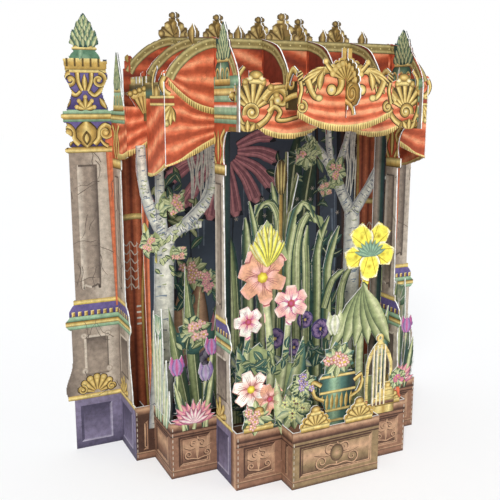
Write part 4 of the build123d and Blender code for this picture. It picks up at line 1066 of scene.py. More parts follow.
def draw_outer_front():
    """Brown planters, cloth corners with shells, pale trees with sprays, and the roof band."""
    p = Print("print_outer_front", "y", OUTER_Y)
    for s in (-1, 1):
        planter_front(p, *ordered(s, 88, 100.4))
        fold_dashes(p, s * 99.6)
        p.cloth(placed(s, ((100.4, 222.5), (84, 222.5))), placed(s, ((100.4, 195), (84, 204))), RED, folds(3.4, 0.2, 1),
                1, 24, 24)
        p.fringe(placed(s, ((100.4, 197), (93, 199.5), (84, 205.6))), 3.6, 2)
        p.cloth(placed(s, ((94, 206), (84, 206))), placed(s, ((92, 34), (88, 34))),
                "curtain_dark curtain curtain_light cloth", drapes(2.2), 0, 18, 60)
        scallop(p, s * 89.0, 216, 17, 5, 62, 3)
        for i in range(5):
            p.disc(s * (97.6 - 2.75 * i), 229.8 + i, 1.8, 1.8, BEAD, 5)
        left, right = ordered(s, 84, 90)
        p.upright(left, 214, right, 240, "olive_dark olive olive_dark", 2)
        roof_band(p, roof_path(262.6, 2.7, 1.0, s), 5.4)
        roof_cloth(p, s, (2, 84), (257, 216), SHADED, folds(4.4, 0.8, 3), 1)
    for seed, (wide, narrow, *path) in enumerate((
            (14.5, 11.5, (-84, 20), (-80.7, 84.5), (-79, 149)),
            (8, 5, (-79, 144), (-86, 158), (-91, 175), (-92.5, 200)),
            (7, 4, (-80, 144), (-81, 164), (-81, 204)), (9, 4, (-78, 142), (-68, 149), (-55, 150)),
            (8, 3.4, (-67, 149), (-55, 160), (-48, 172), (-46, 204), (-46, 222)),
            (14.5, 11.5, (54, 20), (55.1, 87), (54.6, 154)),
            (9, 4, (54, 150), (46, 163), (40, 180), (30, 190), (18, 206), (15, 222)),
            (5, 3.4, (41, 174), (36, 192), (35, 222)), (5, 3.4, (40, 178), (47, 194), (53, 222)),
            (8, 4, (55, 150), (63, 161), (73, 176), (79, 194), (80, 222))), 1):
        tree_bark(p, path, wide, narrow, seed)
    for i in range(7):
        p.ribbon([(-70.5, 170), (-76 + 1.8 * i, 163), (-75.4 + 1.5 * i, 155.5)], 1.5, 0.7, STALK, 5, 5)
    drawn_leaf(p, -91.6, 153.5, -84.4, 128.0, 4.6, "leaf_dark leaf_light yellow_dark leaf", 3, -2)
    twigs = "leaf_dark leaf leaf_light leaf"
    foliage(p, -86, 116, -70, 172, 22, 24, twigs, 6, 3)
    for h, z, r, seed in ((-72, 164, 8, 1), (-89, 141, 6, 2), (-69, 133, 5.5, 3), (18, 190, 9, 4), (42, 179, 7.5, 5),
                          (33, 168, 6, 6)):
        p.disc(h, z, r * 1.3, r * 1.3, "leaf_dark leaf", 2)
        cluster(p, h, z, r * 1.15, 2 if seed == 4 else 5, "blossom blossom blossom_dark", POLLEN, seed, 4)
    foliage(p, 12, 178, 26, 200, 26, 28, twigs, 5, 5)
    crest_print(p, 0, 262.6, 1.12)
    for h in (-58.7, -29.4, 29.4, 58.7):
        p.leaf(h, 258.5, h, 271, 3.8, SPIKE, 3)
    p.build("outer_tier")


def draw_outer_side():
    """Half pillar, hanging cloth, bracket and the small spired tower."""
    q = Print("print_outer_side", "x", -OUTER_X)
    stone_shade(q, -2, 100, 19, 190)
    stone_shade(q, -2, 35, 28, 83)
    cracks(q, 0, 40, 18, 186, 8, 7)
    ledge(q, -2, 27.5)
    q.band(-2, 34, 34, 37.2, RIM, 3)
    q.band(-3, 0, 33, 34, BLUES, 1)
    q.panel(4, 5, 26, 29.5, 1.6, "blue_dark", "blue_light blue", 2, "blue blue_dark")
    sunk_panel(q, 4.5, 108, 12.5, 180, 1.0)
    q.panel(4, 50, 20, 77, 1.4, "stone_light", "stone_dark", 2, "stone stone_dark")
    palmette(q, 10, 37.4, 12, 5, 140, 4)
    q.band(1, 184.6, 20, 190.6, RAIL_GOLD, 2)
    q.band(-2, 190, 26, 213, DRAPE, 1)
    q.cloth([(13, 222.5), (33, 222.5)], [(13, 192.5), (33, 195)], RED, folds(3.6, 0.2, 5), 2, 20, 24)
    q.fringe([(13, 194.6), (23, 194.4), (33, 197)], 3.8, 3)
    for k in (-1, 1):
        gilt(q, placed(k, ((2, 191), (5, 199), (3, 206), (7, 211)), 10.5), 2.0, 2.4)
    gilt_leaf(q, 10.5, 192, 10.5, 210, 1.6)
    stack(q, 1, 30, ((212.4, 214.6, "patina_dark patina", 2), (214.4, 217.6, MOULDING, 3), (217.4, 220.4, SAGE, 2)))
    q.band(1, 219.6, 32, 240, GREEN_DRUM, 1)
    q.band(4, 219.6, 28, 223, "gold_deep gold gold_light", 3)
    for h in (10, 16, 22):
        arch(q, h, 222, 226.4, 228.6, 1.1, 4)
    q.band(8, 230.6, 24, 234.0, RIM, 4)
    artichoke(q, 16, 233, 21.5, 7.4, 4)
    q.build("outer_tier", mirrored=True, back=True)


def draw_outer_tier():
    """Rear tier: its card, its front and its side walls."""
    side = [(-3, 0, 33, 35, "blue"), (-3, 220, 33, 256, "patina_dark")]
    card_material("outer_tier", [
        ("y", OUTER_Y, "cloth_dark", [(-87.5, 36, 87.5, 204, "bark"), (-100.5, 0, 100.5, 36, "brown_dark"),
                                      (-70, 262.2, 70, 290, "crest")]),
        ("x", -OUTER_X, "stone", side), ("x", OUTER_X, "stone", side)])
    draw_outer_front()
    draw_outer_side()


def water_flower(p, h, z):
    """Two rings of narrow petals, each with a dark drawn edge."""
    for count, start, turn, reach, tip, half, inner, names, level in (
            (11, 14, 15.2, 15.2, 15.6, 2.3, 1.6, "magenta blossom magenta", 3),
            (8, 20, 20, 10, 10.4, 1.9, 1.2, "magenta cream magenta", 5)):
        for i in range(count):
            a = np.radians(start + turn * i)
            p.leaf(h, z, h + tip * np.cos(a), z + tip * np.sin(a), half, "rose_dark", level)
            p.leaf(h, z, h + reach * np.cos(a), z + reach * np.sin(a), inner, names, level + 1)


def draw_second_front():
    """Planters with tulips and a water flower under two big swags, and the roof band."""
    p = Print("print_second_front", "y", SECOND_Y)
    for s in (-1, 1):
        planter_front(p, *ordered(s, 58.7, 88.4), ornament=(s * 72, 9.5))
        fold_dashes(p, s * 87.4)
        left, right = ordered(s, 88.0, 88.6)
        p.band(left, 190, right, 236, "card", 7)
        p.cloth(placed(s, ((88.6, 239), (84, 246), (76, 252), (66, 256), (57, 257))),
                placed(s, ((88.6, 230), (84, 236), (73.3, 226), (64, 222), (57, 219))),
                RED, folds(3.4, 0.5, 1), 1, 34, 24)
        p.cloth(placed(s, ((88.6, 236), (80, 232), (73.3, 224.6), (57, 219))),
                placed(s, ((88.6, 188), (81, 190.2), (73.7, 195.5), (66, 199.5), (57, 204))),
                RED, folds(4.2, 0.25, 4), 2, 40, 40)
        p.fringe(placed(s, ((85.5, 237.6), (80, 232), (73.3, 226.8), (66, 223.4), (57, 221.4))), 3.6, 3)
        p.fringe(placed(s, ((88.6, 190.4), (81, 193), (73.7, 197.5), (66, 202.0), (57, 206.6))), 4.4, 3)
        roof_band(p, roof_path(260.5, 2.9, 1.0, s), 5.8, level=4)
        roof_cloth(p, s, (1, 57), (255, 212), SHADED + " cloth_light", folds(3.0, 1.3, 7), 1)
        bracket_band(p, *ordered(s, 82.6, 88.6))
        for dh, dz in ((-2.6, -9), (0.0, -11), (2.8, -9), (5.0, -5)):
            gilt_leaf(p, s * 85, 223.4, s * (85 + dh), 223.4 + dz, 1.5, 5)
        p.disc(s * 87.2, 213.5, 1.6, 2.0, "gold_light gold_dark", 6)
        gilt(p, placed(s, ((88, 239), (89.6, 235), (88, 231), (85, 229))), 2.6, 2.6, 5)
        left, right = ordered(s, 49.5, 57.7)
        p.upright(left, 20, right, 214, "stone_dark stone teal_dark sky_dark", 1)
        water_flower(p, s * 74, 34)
    each(tulip, p, ((-84, 66, 6.4, (-80, 30), TULIP), (-66, 60, 6.2, (-74, 30), BLUE_TULIP),
                    (-62, 76, 6.0, (-66, 30), TULIP), (80, 70, 6.4, (76, 30), TULIP),
                    (66, 62, 6.2, (70, 30), BLUE_TULIP)))
    for h0, h1, z1, half in ((-78, -86, 62, 2.8), (-68, -61, 66, 2.8), (80, 86, 66, 3.0), (74, 74, 84, 2.8),
                             (66, 61.5, 58, 2.8)):
        p.leaf(h0, 30, h1, z1, half + 0.6, DIM_LEAF, 2, blunt=0.5)
        p.leaf(h0, 30, h1, z1, half * 0.5, STALK, 3)
    p.build("second_tier")


def draw_second_side():
    """Planter with a fan of pale leaves, hanging cloth and hooked finials."""
    q = Print("print_second_side", "x", -SECOND_X)
    q.band(-2, 0, 64, 26, "brown_dark brown brown", 0)
    planter_front(q, 32.3, 64)
    q.cloth([(33, 229.5), (64, 229.5)], [(33, 183), (44, 182.6), (54, 186), (64, 190)], RED, folds(3.0, 0.8, 1),
            1, 30, 24)
    q.fringe([(33, 184), (44, 184.4), (54, 187.6), (64, 191.8)], 4.2, 3)
    q.band(-3, 227, 64, 236, "olive_dark teal olive_dark olive", 1)
    bracket_band(q, 41, 64)
    q.band(3, 235, 41, 240.4, "crest gold_light crest", 3)
    gilt(q, [(47, 229), (46, 236), (49, 241), (53, 244)], 3.2, 1.8, 4)
    gilt(q, [(56, 229), (57.5, 235), (61, 239), (64, 240.6)], 3.4, 2.2, 4)
    q.disc(52, 230, 4.6, 4.6, BEAD, 4)
    for h0, h1, z1, half in ((38, 35.5, 99, 3.4), (42, 43, 88, 3.6), (46, 50, 104, 3.6), (52, 57, 74, 3.4),
                             (56, 61.5, 56, 3.0)):
        q.leaf(h0, 30, h1, z1, half + 1.4, "patina_dark patina leaf_light patina", 2, blunt=0.5)
        q.leaf(h0, 30, h1, z1, half * 0.5, "cream leaf_light", 3)
    q.disc(45, 92, 8.4, 8.4, "leaf_light patina patina_dark", 3)
    for a in (0.3, 1.0, 1.7, 2.4, 3.1):
        q.ribbon([(45, 86), (45 + 8 * np.cos(a), 92 + 7 * np.sin(a))], 0.9, 0.4, "cream", 4, 3)
    q.build("second_tier", mirrored=True, back=True)


def draw_second_tier():
    """Middle tier: its card, its front and its side walls."""
    side = [(-3, 0, 65, 36, "brown"), (-3, 182, 65, 226, "cloth"), (-3, 226, 65, 245, "olive"),
            (34, 30, 64, 105, "leaf")]
    card_material("second_tier", [
        ("y", SECOND_Y, "cloth", [(-60, 36, 60, 214, "bark_dark"), (-88.5, 0, 88.5, 36, "brown"),
                                  (-90, 36, -58.9, 100, "teal_dark"), (58.9, 36, 90, 100, "teal_dark")]),
        ("x", -SECOND_X, "leaf", side), ("x", SECOND_X, "leaf", side)])
    draw_second_front()
    draw_second_side()


def valance_bracket(p, s):
    """Shell, scrolls, sprigs and small urn on the cloth at one end of the front tier."""
    c, z = 48.6, 220.6
    p.shell(s * c, z, 16.6, 7, "gold_deep gold_dark gold", 3, 134)
    for i in range(7):
        a = np.radians(90 - 62 + 124 * i / 6)
        tip = (s * c + 15.0 * np.cos(a), 222 + 14.6 * np.sin(a))
        gilt(p, [(s * 49.4, 221), tip], 1.2, 3.4, 4)
        p.disc(*tip, 2.0, 1.9, "gold_light gold gold_dark", 6)
    gilt_scroll(p, s * 49.8, 219.8, 4.4, 1.2, 1.3, 2.6, s, 200 if s < 0 else -20, 6)
    p.disc(s * 49.8, 219.8, 1.5, 1.5, PEARL, 7)
    gilt(p, placed(s, ((59, 228), (58.4, 221), (55.6, 214), (52, 211))), 2.6, 1.8, 6)
    gilt(p, placed(s, ((47.2, 211.8), (41.8, 215.4), (38.4, 220.4), (38.2, 226))), 3.2, 2.2, 5)
    p.disc(s * 52.4, 211.4, 7.2, 3.6, "gold_light gold gold_dark", 5)
    for d in (-4.2, 0.0, 4.2):
        gilt_leaf(p, s * (52.4 + d * 0.4), 209.4, s * (52.4 + d), 215.6 - abs(d) * 0.4, 1.5, 7)
    gilt(p, placed(s, ((43, 226.4), (38.6, 231.4), (33, 231.8), (29.6, 228.4), (31, 224.4), (34.4, 225))), 4.6, 2.2, 5)
    p.disc(s * 34.6, 226.0, 2.2, 2.2, PEARL, 7)
    gilt(p, placed(s, ((40, 219.8), (36.4, 222.6), (33, 219.8), (34.8, 216), (30, 215.4), (22, 217.2))), 2.8, 1.8, 5)
    gilt(p, placed(s, ((42, 228), (37, 232.4), (31, 233.6), (28, 236))), 2.4, 2.0, 5)
    left, right = ordered(s, 43.6, 51.4)
    p.band(left, 234.6, right, 237.6, RIM, 6)
    p.disc(s * 47.5, 239.4, 4.2, 2.4, BEAD, 6)
    for d in (-3.6, 3.6):
        p.disc(s * (47.5 + d), 237.6, 2.0, 1.6, "cream gold_light gold_dark", 7)
    gilt(p, placed(s, ((57.4, 232), (57.6, 238), (54, 243.4))), 2.6, 1.6, 5)
    left, right = ordered(s, 22, 29)
    p.band(left, 223, right, 226, CORD, 4)


def urn(p):
    """Green urn with gold bands, leaves and handles, and its spray of flowers."""
    p.band(-4.4, 26, 20.4, 63, "stone_dark teal_dark teal teal_dark", 2)
    p.upright(-4.4, 26, 20.4, 63, "teal_dark teal patina teal teal_dark sky_dark", 3)
    for z in (31, 38, 50, 60):
        p.band(-6, z, 22, z + 1.8, RIM, 4)
    for h in np.arange(-3, 20, 3.4):
        p.leaf(h, 39, h + 0.4, 49.5, 1.2, "gold_dark gold gold_light", 4)
    for s in (-1, 1):
        gilt(p, placed(s, ((11.5, 56), (17.5, 59), (16, 50), (9.5, 46)), 8), 2.6, 2.0, 4)
    p.disc(8, 71, 10.8, 10.8, "leaf_light leaf leaf_dark", 3, lobes=9)
    cluster(p, 8, 71, 11, 9, WHITE_PINK, POLLEN, 35, 4)


def gilt_cage(p):
    """Small gilt cage: bars across, bars upright and a dark foot."""
    p.upright(26, 30, 50, 86, "gold_dark gold_light gold gold_light gold gold_light gold_dark", 2)
    for z in (40, 50, 60, 69, 75):
        p.band(26, z, 50, z + 1.4, CORD, 4)
    for d in (-4.2, -1.4, 1.4, 4.2):
        p.upright(37.5 + d, 36, 38.5 + d, 76, "cream gold_light", 5)
    p.band(27, 36, 50, 38, "brown_dark brown", 3)


def draw_third_front():
    """Planters with shells, the valance with its brackets, flowers, urn and cage."""
    p = Print("print_third_front", "y", THIRD_Y)
    for s in (-1, 1):
        planter_front(p, *ordered(s, 29.4, 59.2), ornament=(s * 45, 8.5))
        fold_dashes(p, s * 58.2)
        rail_shell(p, s * 45.0, 3)
        p.cloth(placed(s, ((1, 236), (59.4, 236))),
                placed(s, ((1, 214), (10, 209.5), (28, 206), (46, 209.5), (59.4, 212))),
                BRIGHT, folds(4.6, 0.1, 2), 1, 50, 34)
        p.fringe(placed(s, ((5, 213.2), (12, 210.8), (20, 208.9), (28, 208.4), (36, 209.2), (46, 212.6))), 3.8, 3)
        valance_bracket(p, s)
    flower(p, -50, 62, 11.5, 6, WHITE_PINK, POLLEN, 15)
    flower(p, -38, 54, 9.4, 5, APRICOT, "magenta cloth_dark", 0)
    cluster(p, -46, 44, 9, 7, WHITE_PINK, POLLEN, 31)
    foliage(p, -36, 34, -6, 66, 60, 32, "teal_dark leaf_dark leaf leaf_light", 7, 1)
    cluster(p, -22, 44, 11, 9, "yellow leaf_light leaf", "brown brown_dark", 33)
    cluster(p, -16, 58, 8, 7, "cream lilac purple", POLLEN, 34)
    p.leaf(-30, 30, -34, 66, 3.2, STALK, 3)
    urn(p)
    gilt_cage(p)
    p.disc(52, 52, 6.8, 6.8, "leaf_light leaf leaf_dark", 3, lobes=6)
    cluster(p, 52, 52, 6.5, 5, "blossom magenta magenta", POLLEN, 36, 4)
    p.build("third_tier")


def draw_third_side():
    """Large pillar, banded tower with a leafy finial, and the rib that runs back from it."""
    q = Print("print_third_side", "x", -THIRD_X)
    back = 61.0
    stone_shade(q, back, 35, 87, 83)
    stone_shade(q, back, 100, 79, 186)
    cracks(q, 63, 40, 77, 180, 8, 9)
    q.band(back, 0, 84.6, 34.6, BLUES, 1)
    q.upright(85, 0, 93, 36, WOOD, 1)
    q.panel(65, 5, 82, 30, 1.7, "blue_dark", "blue_light blue", 2, "blue blue_dark")
    q.band(back, 34.4, 88, 37.4, RIM, 3)
    ledge(q, back, 87)
    sunk_panel(q, 65, 108, 72.6, 180, 1.0)
    q.panel(64.5, 50, 79, 77, 1.4, "stone_light", "stone_dark", 2, "stone stone_dark")
    palmette(q, 69.5, 37.4, 13, 5, 140, 4)
    q.band(back, 184.8, 79, 190.8, RAIL_GOLD, 2)
    q.band(back, 190, 84, 214, DRAPE, 1)
    for k in (-1, 1):
        gilt(q, placed(k, ((3, 191), (6.5, 198), (4, 205), (9, 210)), 69.5), 2.2, 2.6)
    gilt(q, [(76, 192), (76, 200), (79, 206.6), (85, 209)], 2.4, 2.0, 4)
    gilt_leaf(q, 69.5, 192, 69.5, 210, 1.8)
    stack(q, back, 94, ((213.6, 216.2, "patina_dark patina", 3), (216, 218.4, CORD, 4), (218.2, 222.6, SAGE, 3),
                        (222.4, 225.4, "cream cloth cloth_dark", 3), (225.2, 228.8, SAGE, 3), (228.6, 232.4, RIM, 4),
                        (232.2, 234.4, "patina_dark patina", 3)))
    q.band(60, 234, 97, 262, DRAPE, 0)
    q.band(60, 233.8, 97, 239.0, GREEN_DRUM, 3)
    q.band(66, 233.8, 86, 237.4, "gold_deep gold gold_light", 5)
    q.disc(76, 242.4, 9.6, 6.4, "patina patina_dark teal_dark", 4)
    for h in (69.5, 76, 82.5):
        arch(q, h, 237.4, 241, 243, 1.2, 6)
        q.disc(h, 239.6, 1.1, 1.8, "patina patina_dark", 6)
    q.leaf(73, 239, 74, 246.6, 1.2, "patina cream patina", 5)
    q.band(69, 246.4, 84, 249.4, RIM, 6)
    artichoke(q, 77, 248.6, 19.6, 8.2, 6)
    rib_print(q, fall=234)
    q.build("third_tier", mirrored=True, back=True)


def draw_third_tier():
    """Front tier: its card, its front and its side walls."""
    side = [(-3, 0, 93, 36, "blue"), (-3, 186, 63.5, 280, "cloth_deep"), (63.4, 209, 93, 262, "cloth_dark"),
            (63.4, 190, 93, 212, "gold_dark"), CREST_FIELD]
    card_material("third_tier", [
        ("y", THIRD_Y, "cloth", [(-60, 0, 60, 36, "brown"), (-60, 36, -8, 90, "leaf_dark"), (-8, 36, 24, 90, "teal"),
                                 (24, 47, 60, 90, "gold")]),
        ("x", -THIRD_X, "stone", side), ("x", THIRD_X, "stone", side)])
    draw_third_front()
    draw_third_side()


def rib_print(q, fall=221.0):
    """Band along the top edge of a rib: straight to the middle tier, then down its fall."""
    q.cloth([(-2, 262), (64, 257), (66, 257)], [(-2, 236), (30, 236), (66, 236)], SHADED, folds(2.0, 0.8, 3), 0, 26, 16)
    roof_band(q, [(-2, 262.8), (30, 260.4), (62, 257.6), (72, 255.6), (80, 252.6), (87, 247), (91.8, 240.2),
                  (93.7, fall + 1)], 5.2)
    scallop(q, 0, 266.5, 7.2, 5, 170, 3, "gold_deep crest gold")
    q.band(-3, 272, 4, 277, "crest gold crest gold_deep", 4)
    q.disc(0, 278.4, 3.5, 2.0, "gold crest gold_deep", 4)
    q.leaf(32.3, 258.5, 32.3, 271, 3.8, SPIKE, 3)


def draw_leaf_row():
    """Strap leaves in three layers, undergrowth at their feet, a bulrush, and spikes with sprays at the ends."""
    card_material("leaf_row", [("y", LEAF_Y, "leaf", [(-86, 0, 86, 26, "brown_dark")])])
    p = Print("print_leaf_row", "y", LEAF_Y)
    p.band(-85, 0, 85, 26, SOIL, 0)
    blades = (LEAVES, "teal_dark leaf_dark leaf leaf_light leaf_dark", "leaf_dark leaf_light leaf leaf_dark teal_dark",
              "leaf leaf_light leaf leaf_dark teal")
    for i, (wide, *path) in enumerate((
            (4.8, (-9.4, 120), (-10.8, 152), (-14.8, 176)), (8.2, (-38, 20), (-39.6, 90), (-41.3, 122), (-43.4, 145)),
            (7.8, (-30.4, 20), (-31, 103), (-31.4, 133), (-32.8, 155)),
            (6.0, (-21.8, 20), (-22.2, 110), (-23.8, 133), (-30.2, 165)),
            (6.4, (36.4, 20), (36.4, 90), (39, 108), (46, 118)), (6.8, (11, 20), (10.8, 107), (9.6, 134), (11, 147)),
            (6.8, (18.8, 20), (18.5, 102), (18.6, 131), (26.6, 152)),
            (6.8, (27.2, 20), (26.2, 97), (26.6, 120), (34.4, 145)), (5.0, (24, 90), (30, 108), (39, 115)),
            (6.0, (-9, 20), (-8.6, 110), (-9.4, 148), (-14, 162), (-20.4, 163.4), (-25.9, 155)),
            (6.0, (-15.4, 20), (-13.8, 110), (-13.2, 134), (-17, 148.6), (-21, 148.4), (-24.6, 143)),
            (6.2, (-3.6, 20), (-4, 112), (-1.4, 140), (4.4, 160.4), (9.6, 161.4), (15, 151.6)),
            (6.6, (4.2, 20), (3.2, 104), (3.4, 136), (9.4, 153), (15, 152.6), (22, 136)))):
        level = 1 + i % 3 * 2
        p.ribbon(path, wide + 1.2, 2.0, "teal_dark", level, 10, keep=4)
        p.ribbon(path, wide - 0.3, 1.0, blades[i % 4], level + 1, 10, keep=4)
        for side, tone in ((-0.12, "leaf_dark"), (0.26, "leaf_light")):
            p.ribbon([(h + side * wide, z) for h, z in path[:-1]], 0.5, 0.25, tone, level + 2, 8)
    foliage(p, -46, 24, 46, 64, 130, 71, "teal_dark teal leaf_dark slate leaf_light", 11, 7)
    for h, z, r in ((-12, 74, 6), (2, 66, 5), (22, 76, 6), (10, 84, 5)):
        flower(p, h, z, r, 5, "lilac purple purple_dark", "gold_light gold", 9 * r, 8)
    p.ribbon([(-8.5, 100), (-8.5, 174)], 2.6, 2.2, "gold_dark gold", 7)
    p.disc(-8.5, 179, 4.4, 11.2, "gold gold_dark gold_deep", 7)
    for d in (-2.6, 0.0, 2.6):
        p.leaf(-8.5 + d * 0.6, 168, -8.5 + d, 189, 0.9, "gold_deep gold_light gold_dark", 8)
    for s in (-1, 1):
        for h0, h1, z1, half in ((-64, -72, 128, 4.8), (-70, -83, 104, 4.6), (-50, -52, 100, 5.0)):
            p.leaf(s * h0, 20, s * h1, z1, half + 0.6, "leaf_dark", 1)
            p.leaf(s * h0, 20, s * h1, z1, half - 0.4, "teal_dark leaf_dark leaf leaf_dark", 2)
            p.ribbon([(s * (h0 + 1), 24), (s * (h1 + 1), z1 - 12)], 0.6, 0.3, "leaf_light", 3)
        h = s * -66
        p.disc(h, 84, 12.6, 12.6, "leaf_dark teal teal_dark", 3)
        foliage(p, h - 9, 74, h + 9, 92, 30, 41 + s, "teal_dark leaf_dark leaf leaf_light", 7, 4)
        cluster(p, h, 86, 10, 7, "cream blossom rose", POLLEN, 45 + s, 5)
    p.build("leaf_row")


def draw_flower_row():
    """Large flowers on stalks: white, apricot and pink on the left, yellow with hanging leaves on the right."""
    card_material("flower_row", [("y", FLOWER_Y, "leaf", [(-58, 0, 58, 26, "brown_dark")])])
    p = Print("print_flower_row", "y", FLOWER_Y)
    p.band(-57, 0, 57, 26, SOIL, 0)
    for wide, narrow, *path in ((6, 4, (-34, 20), (-30, 70), (-34, 112)), (5, 3.5, (-30, 20), (-22, 60), (-18, 104)),
                                (4, 3, (-40, 20), (-46, 60), (-45, 92)), (6, 4, (36, 20), (33, 60), (36, 120)),
                                (4, 3, (30, 20), (22, 50), (16, 84))):
        p.ribbon(path, wide + 0.6, narrow + 0.6, STALK, 1, 8)
    for h0, z0, h1, z1, half, bend in ((-30, 24, -52, 84, 7, 3), (-24, 24, -8, 84, 6, -3), (44, 22, 54, 96, 4.5, 0),
                                       (20, 22, 8, 70, 5, 0)):
        p.leaf(h0, z0, h1, z1, half, "teal_dark teal leaf leaf_light teal", 2, bend)
    foliage(p, -52, 62, -12, 84, 50, 51, "teal_dark teal leaf_dark leaf", 8, 2)
    flower(p, -45, 98, 9.4, 5, "cream blossom magenta", "magenta cloth_dark", 0, 3)
    flower(p, -36, 124, 15.4, 6, APRICOT, POLLEN, 10, 4)
    flower(p, -17, 106, 11.4, 6, "blossom cream magenta", "magenta cloth_dark", 0, 5)
    for i in range(13):
        a = np.radians(38 + 104 * i / 12)
        reach = 24 + 3 * (i % 2)
        p.leaf(-33, 130, -33 + reach * 0.62 * np.cos(a), 130 + reach * np.sin(a), 2.3,
               "leaf_dark yellow leaf_light yellow_dark", 6 + i % 2)
    h, z = 38, 134
    p.disc(h, z, 22, 22, "yellow_dark yellow", 2)
    for i, turn in enumerate((54, 198, 270, 342, 126)):
        a = np.radians(turn)
        x, y = h + 10.6 * np.cos(a), z + 10.6 * np.sin(a)
        p.disc(x, y, 9.8, 8.6, "yellow_dark", 3 + i % 3, turn)
        p.disc(x, y, 9.2, 8.0, "yellow_dark yellow yellow yellow cream", 4 + i % 3, turn)
        for bow in (-0.3, 0.3):
            p.ribbon([(h, z), (h + 17 * np.cos(a + bow), z + 17 * np.sin(a + bow))], 0.7, 0.3, "yellow_dark", 7, 3)
    for i in range(9):
        a = np.radians(20 + 140 * i / 8)
        p.leaf(h, 130, h + 12 * np.cos(a), 130 + 11 * np.sin(a), 1.5, "teal patina teal", 9)
    for d in (-24, -14, -5, 5, 14, 22):
        p.leaf(34, 114, 34 + d, 72 - abs(d) * 0.1, 5.6, "leaf_dark", 3)
        p.leaf(34, 113, 34 + d, 73 - abs(d) * 0.1, 4.6, BLADE, 4)
    tulip(p, 14, 82, 8, (24, 20), "cream leaf_light leaf")
    p.build("flower_row")


def draw_rows():
    """Strap leaves, tall spikes, large flowers and the crosswise leaves."""
    draw_leaf_row()
    draw_flower_row()
    card_material("leaf_fin", [("x", 0.0, "leaf", [(20, 0, 80, 26, "brown_dark")])])
    q = Print("print_leaf_fin", "x", 0.0)
    for wide, *path in ((7, (37, 20), (37, 110), (39, 160), (40, 194)), (7, (41, 20), (41, 120), (44, 160), (54, 181)),
                        (6, (34, 20), (32, 90), (27, 140))):
        q.ribbon(path, wide + 0.8, 3, BLADE, 2, 8)
    q.build("leaf_fin", back=True)


def acanthus(p, s):
    """Fanned leaf ribs, curling stems and small scrolls on one half of the front cloth."""
    p.quad(placed(s, ((12, 244.4), (30, 241.6), (29, 233.4), (19, 233.6))), "gold_dark gold_deep", 2)
    for wide, *rib in ((2.8, (12, 243.6), (19, 244.4), (25, 243), (30.4, 240.2)),
                       (3.2, (12, 242.8), (19, 242.4), (25, 240), (30, 236.4)),
                       (3.0, (13, 242), (19, 240), (24, 236.8), (28.4, 232.6)),
                       (2.6, (14, 241.4), (19, 238), (22.6, 234.2), (24.6, 229.8)),
                       (2.2, (14.4, 240.6), (17.4, 237.4), (18.8, 233.6), (19.6, 230.4)),
                       (2.2, (11, 243.2), (19, 243.6), (25, 241.6), (30.4, 238.2)),
                       (2.4, (12, 242.4), (19, 241), (24.6, 238.4), (29.4, 234.4)),
                       (2.2, (14, 241.6), (18, 239), (21.2, 235.6), (22.4, 230.6))):
        gilt(p, placed(s, rib), wide + 0.4, 0.5, 4)
    gilt(p, placed(s, ((14, 242.8), (9.4, 243.2), (5.4, 241.4), (3.6, 238), (3.4, 234.6), (5, 231.4), (8, 230))),
         5.4, 2.8, 5)
    p.disc(s * 9.4, 231.8, 3.3, 3.3, "gold_deep", 6)
    p.disc(s * 9.4, 231.8, 2.8, 2.8, PEARL, 7)
    gilt_leaf(p, s * 14.5, 241.6, s * 16.6, 231.4, 2.0, 6, s * 1.0)
    gilt(p, placed(s, ((24, 236.4), (22, 231.6), (19.8, 228.2), (17.4, 227.2))), 3.6, 2.4, 6)
    p.disc(s * 17.0, 227.4, 2.3, 1.9, "gold_light gold_light gold_dark", 7)
    gilt(p, placed(s, ((28.4, 236), (27.6, 231.6), (28.6, 227.4), (29.2, 224))), 1.9, 1.6, 5)
    gilt_scroll(p, s * 27.2, 222.6, 3.0, 1.0, 1.2, 1.7, s, 90, 6)
    gilt(p, placed(s, ((8, 241), (11, 243.4), (13.4, 246.6))), 2.6, 1.8, 6)
    p.disc(s * 13.2, 246.6, 1.5, 1.5, TWO_GOLDS, 7)


def draw_bay_planter():
    """Tan planter front with two rail shells, and its brown sides."""
    card_material("bay_planter", [("y", BAY_Y, "tan", [(-30, 30, 30, 36, "brown"), (-30, 36.5, 30, 60, "gold")]),
                                  ("x", -BAY_X, "brown", []), ("x", BAY_X, "brown", [])])
    p = Print("print_bay_planter", "y", BAY_Y)
    planter_front(p, -29.8, 29.8, "tan", (0, 17))
    p.band(-29.8, 30.4, 29.8, 36, WOOD, 3)
    p.disc(0, 18, 4.6, 5.6, "brown_light tan brown_dark", 5)
    fold_dashes(p, -28.9, 30)
    for s in (-1, 1):
        rail_shell(p, s * 15.0, 4)
    p.build("bay_planter")
    q = Print("print_bay_side", "x", -BAY_X)
    planter_front(q, 92.8, 105.6)
    q.build("bay_planter", mirrored=True)


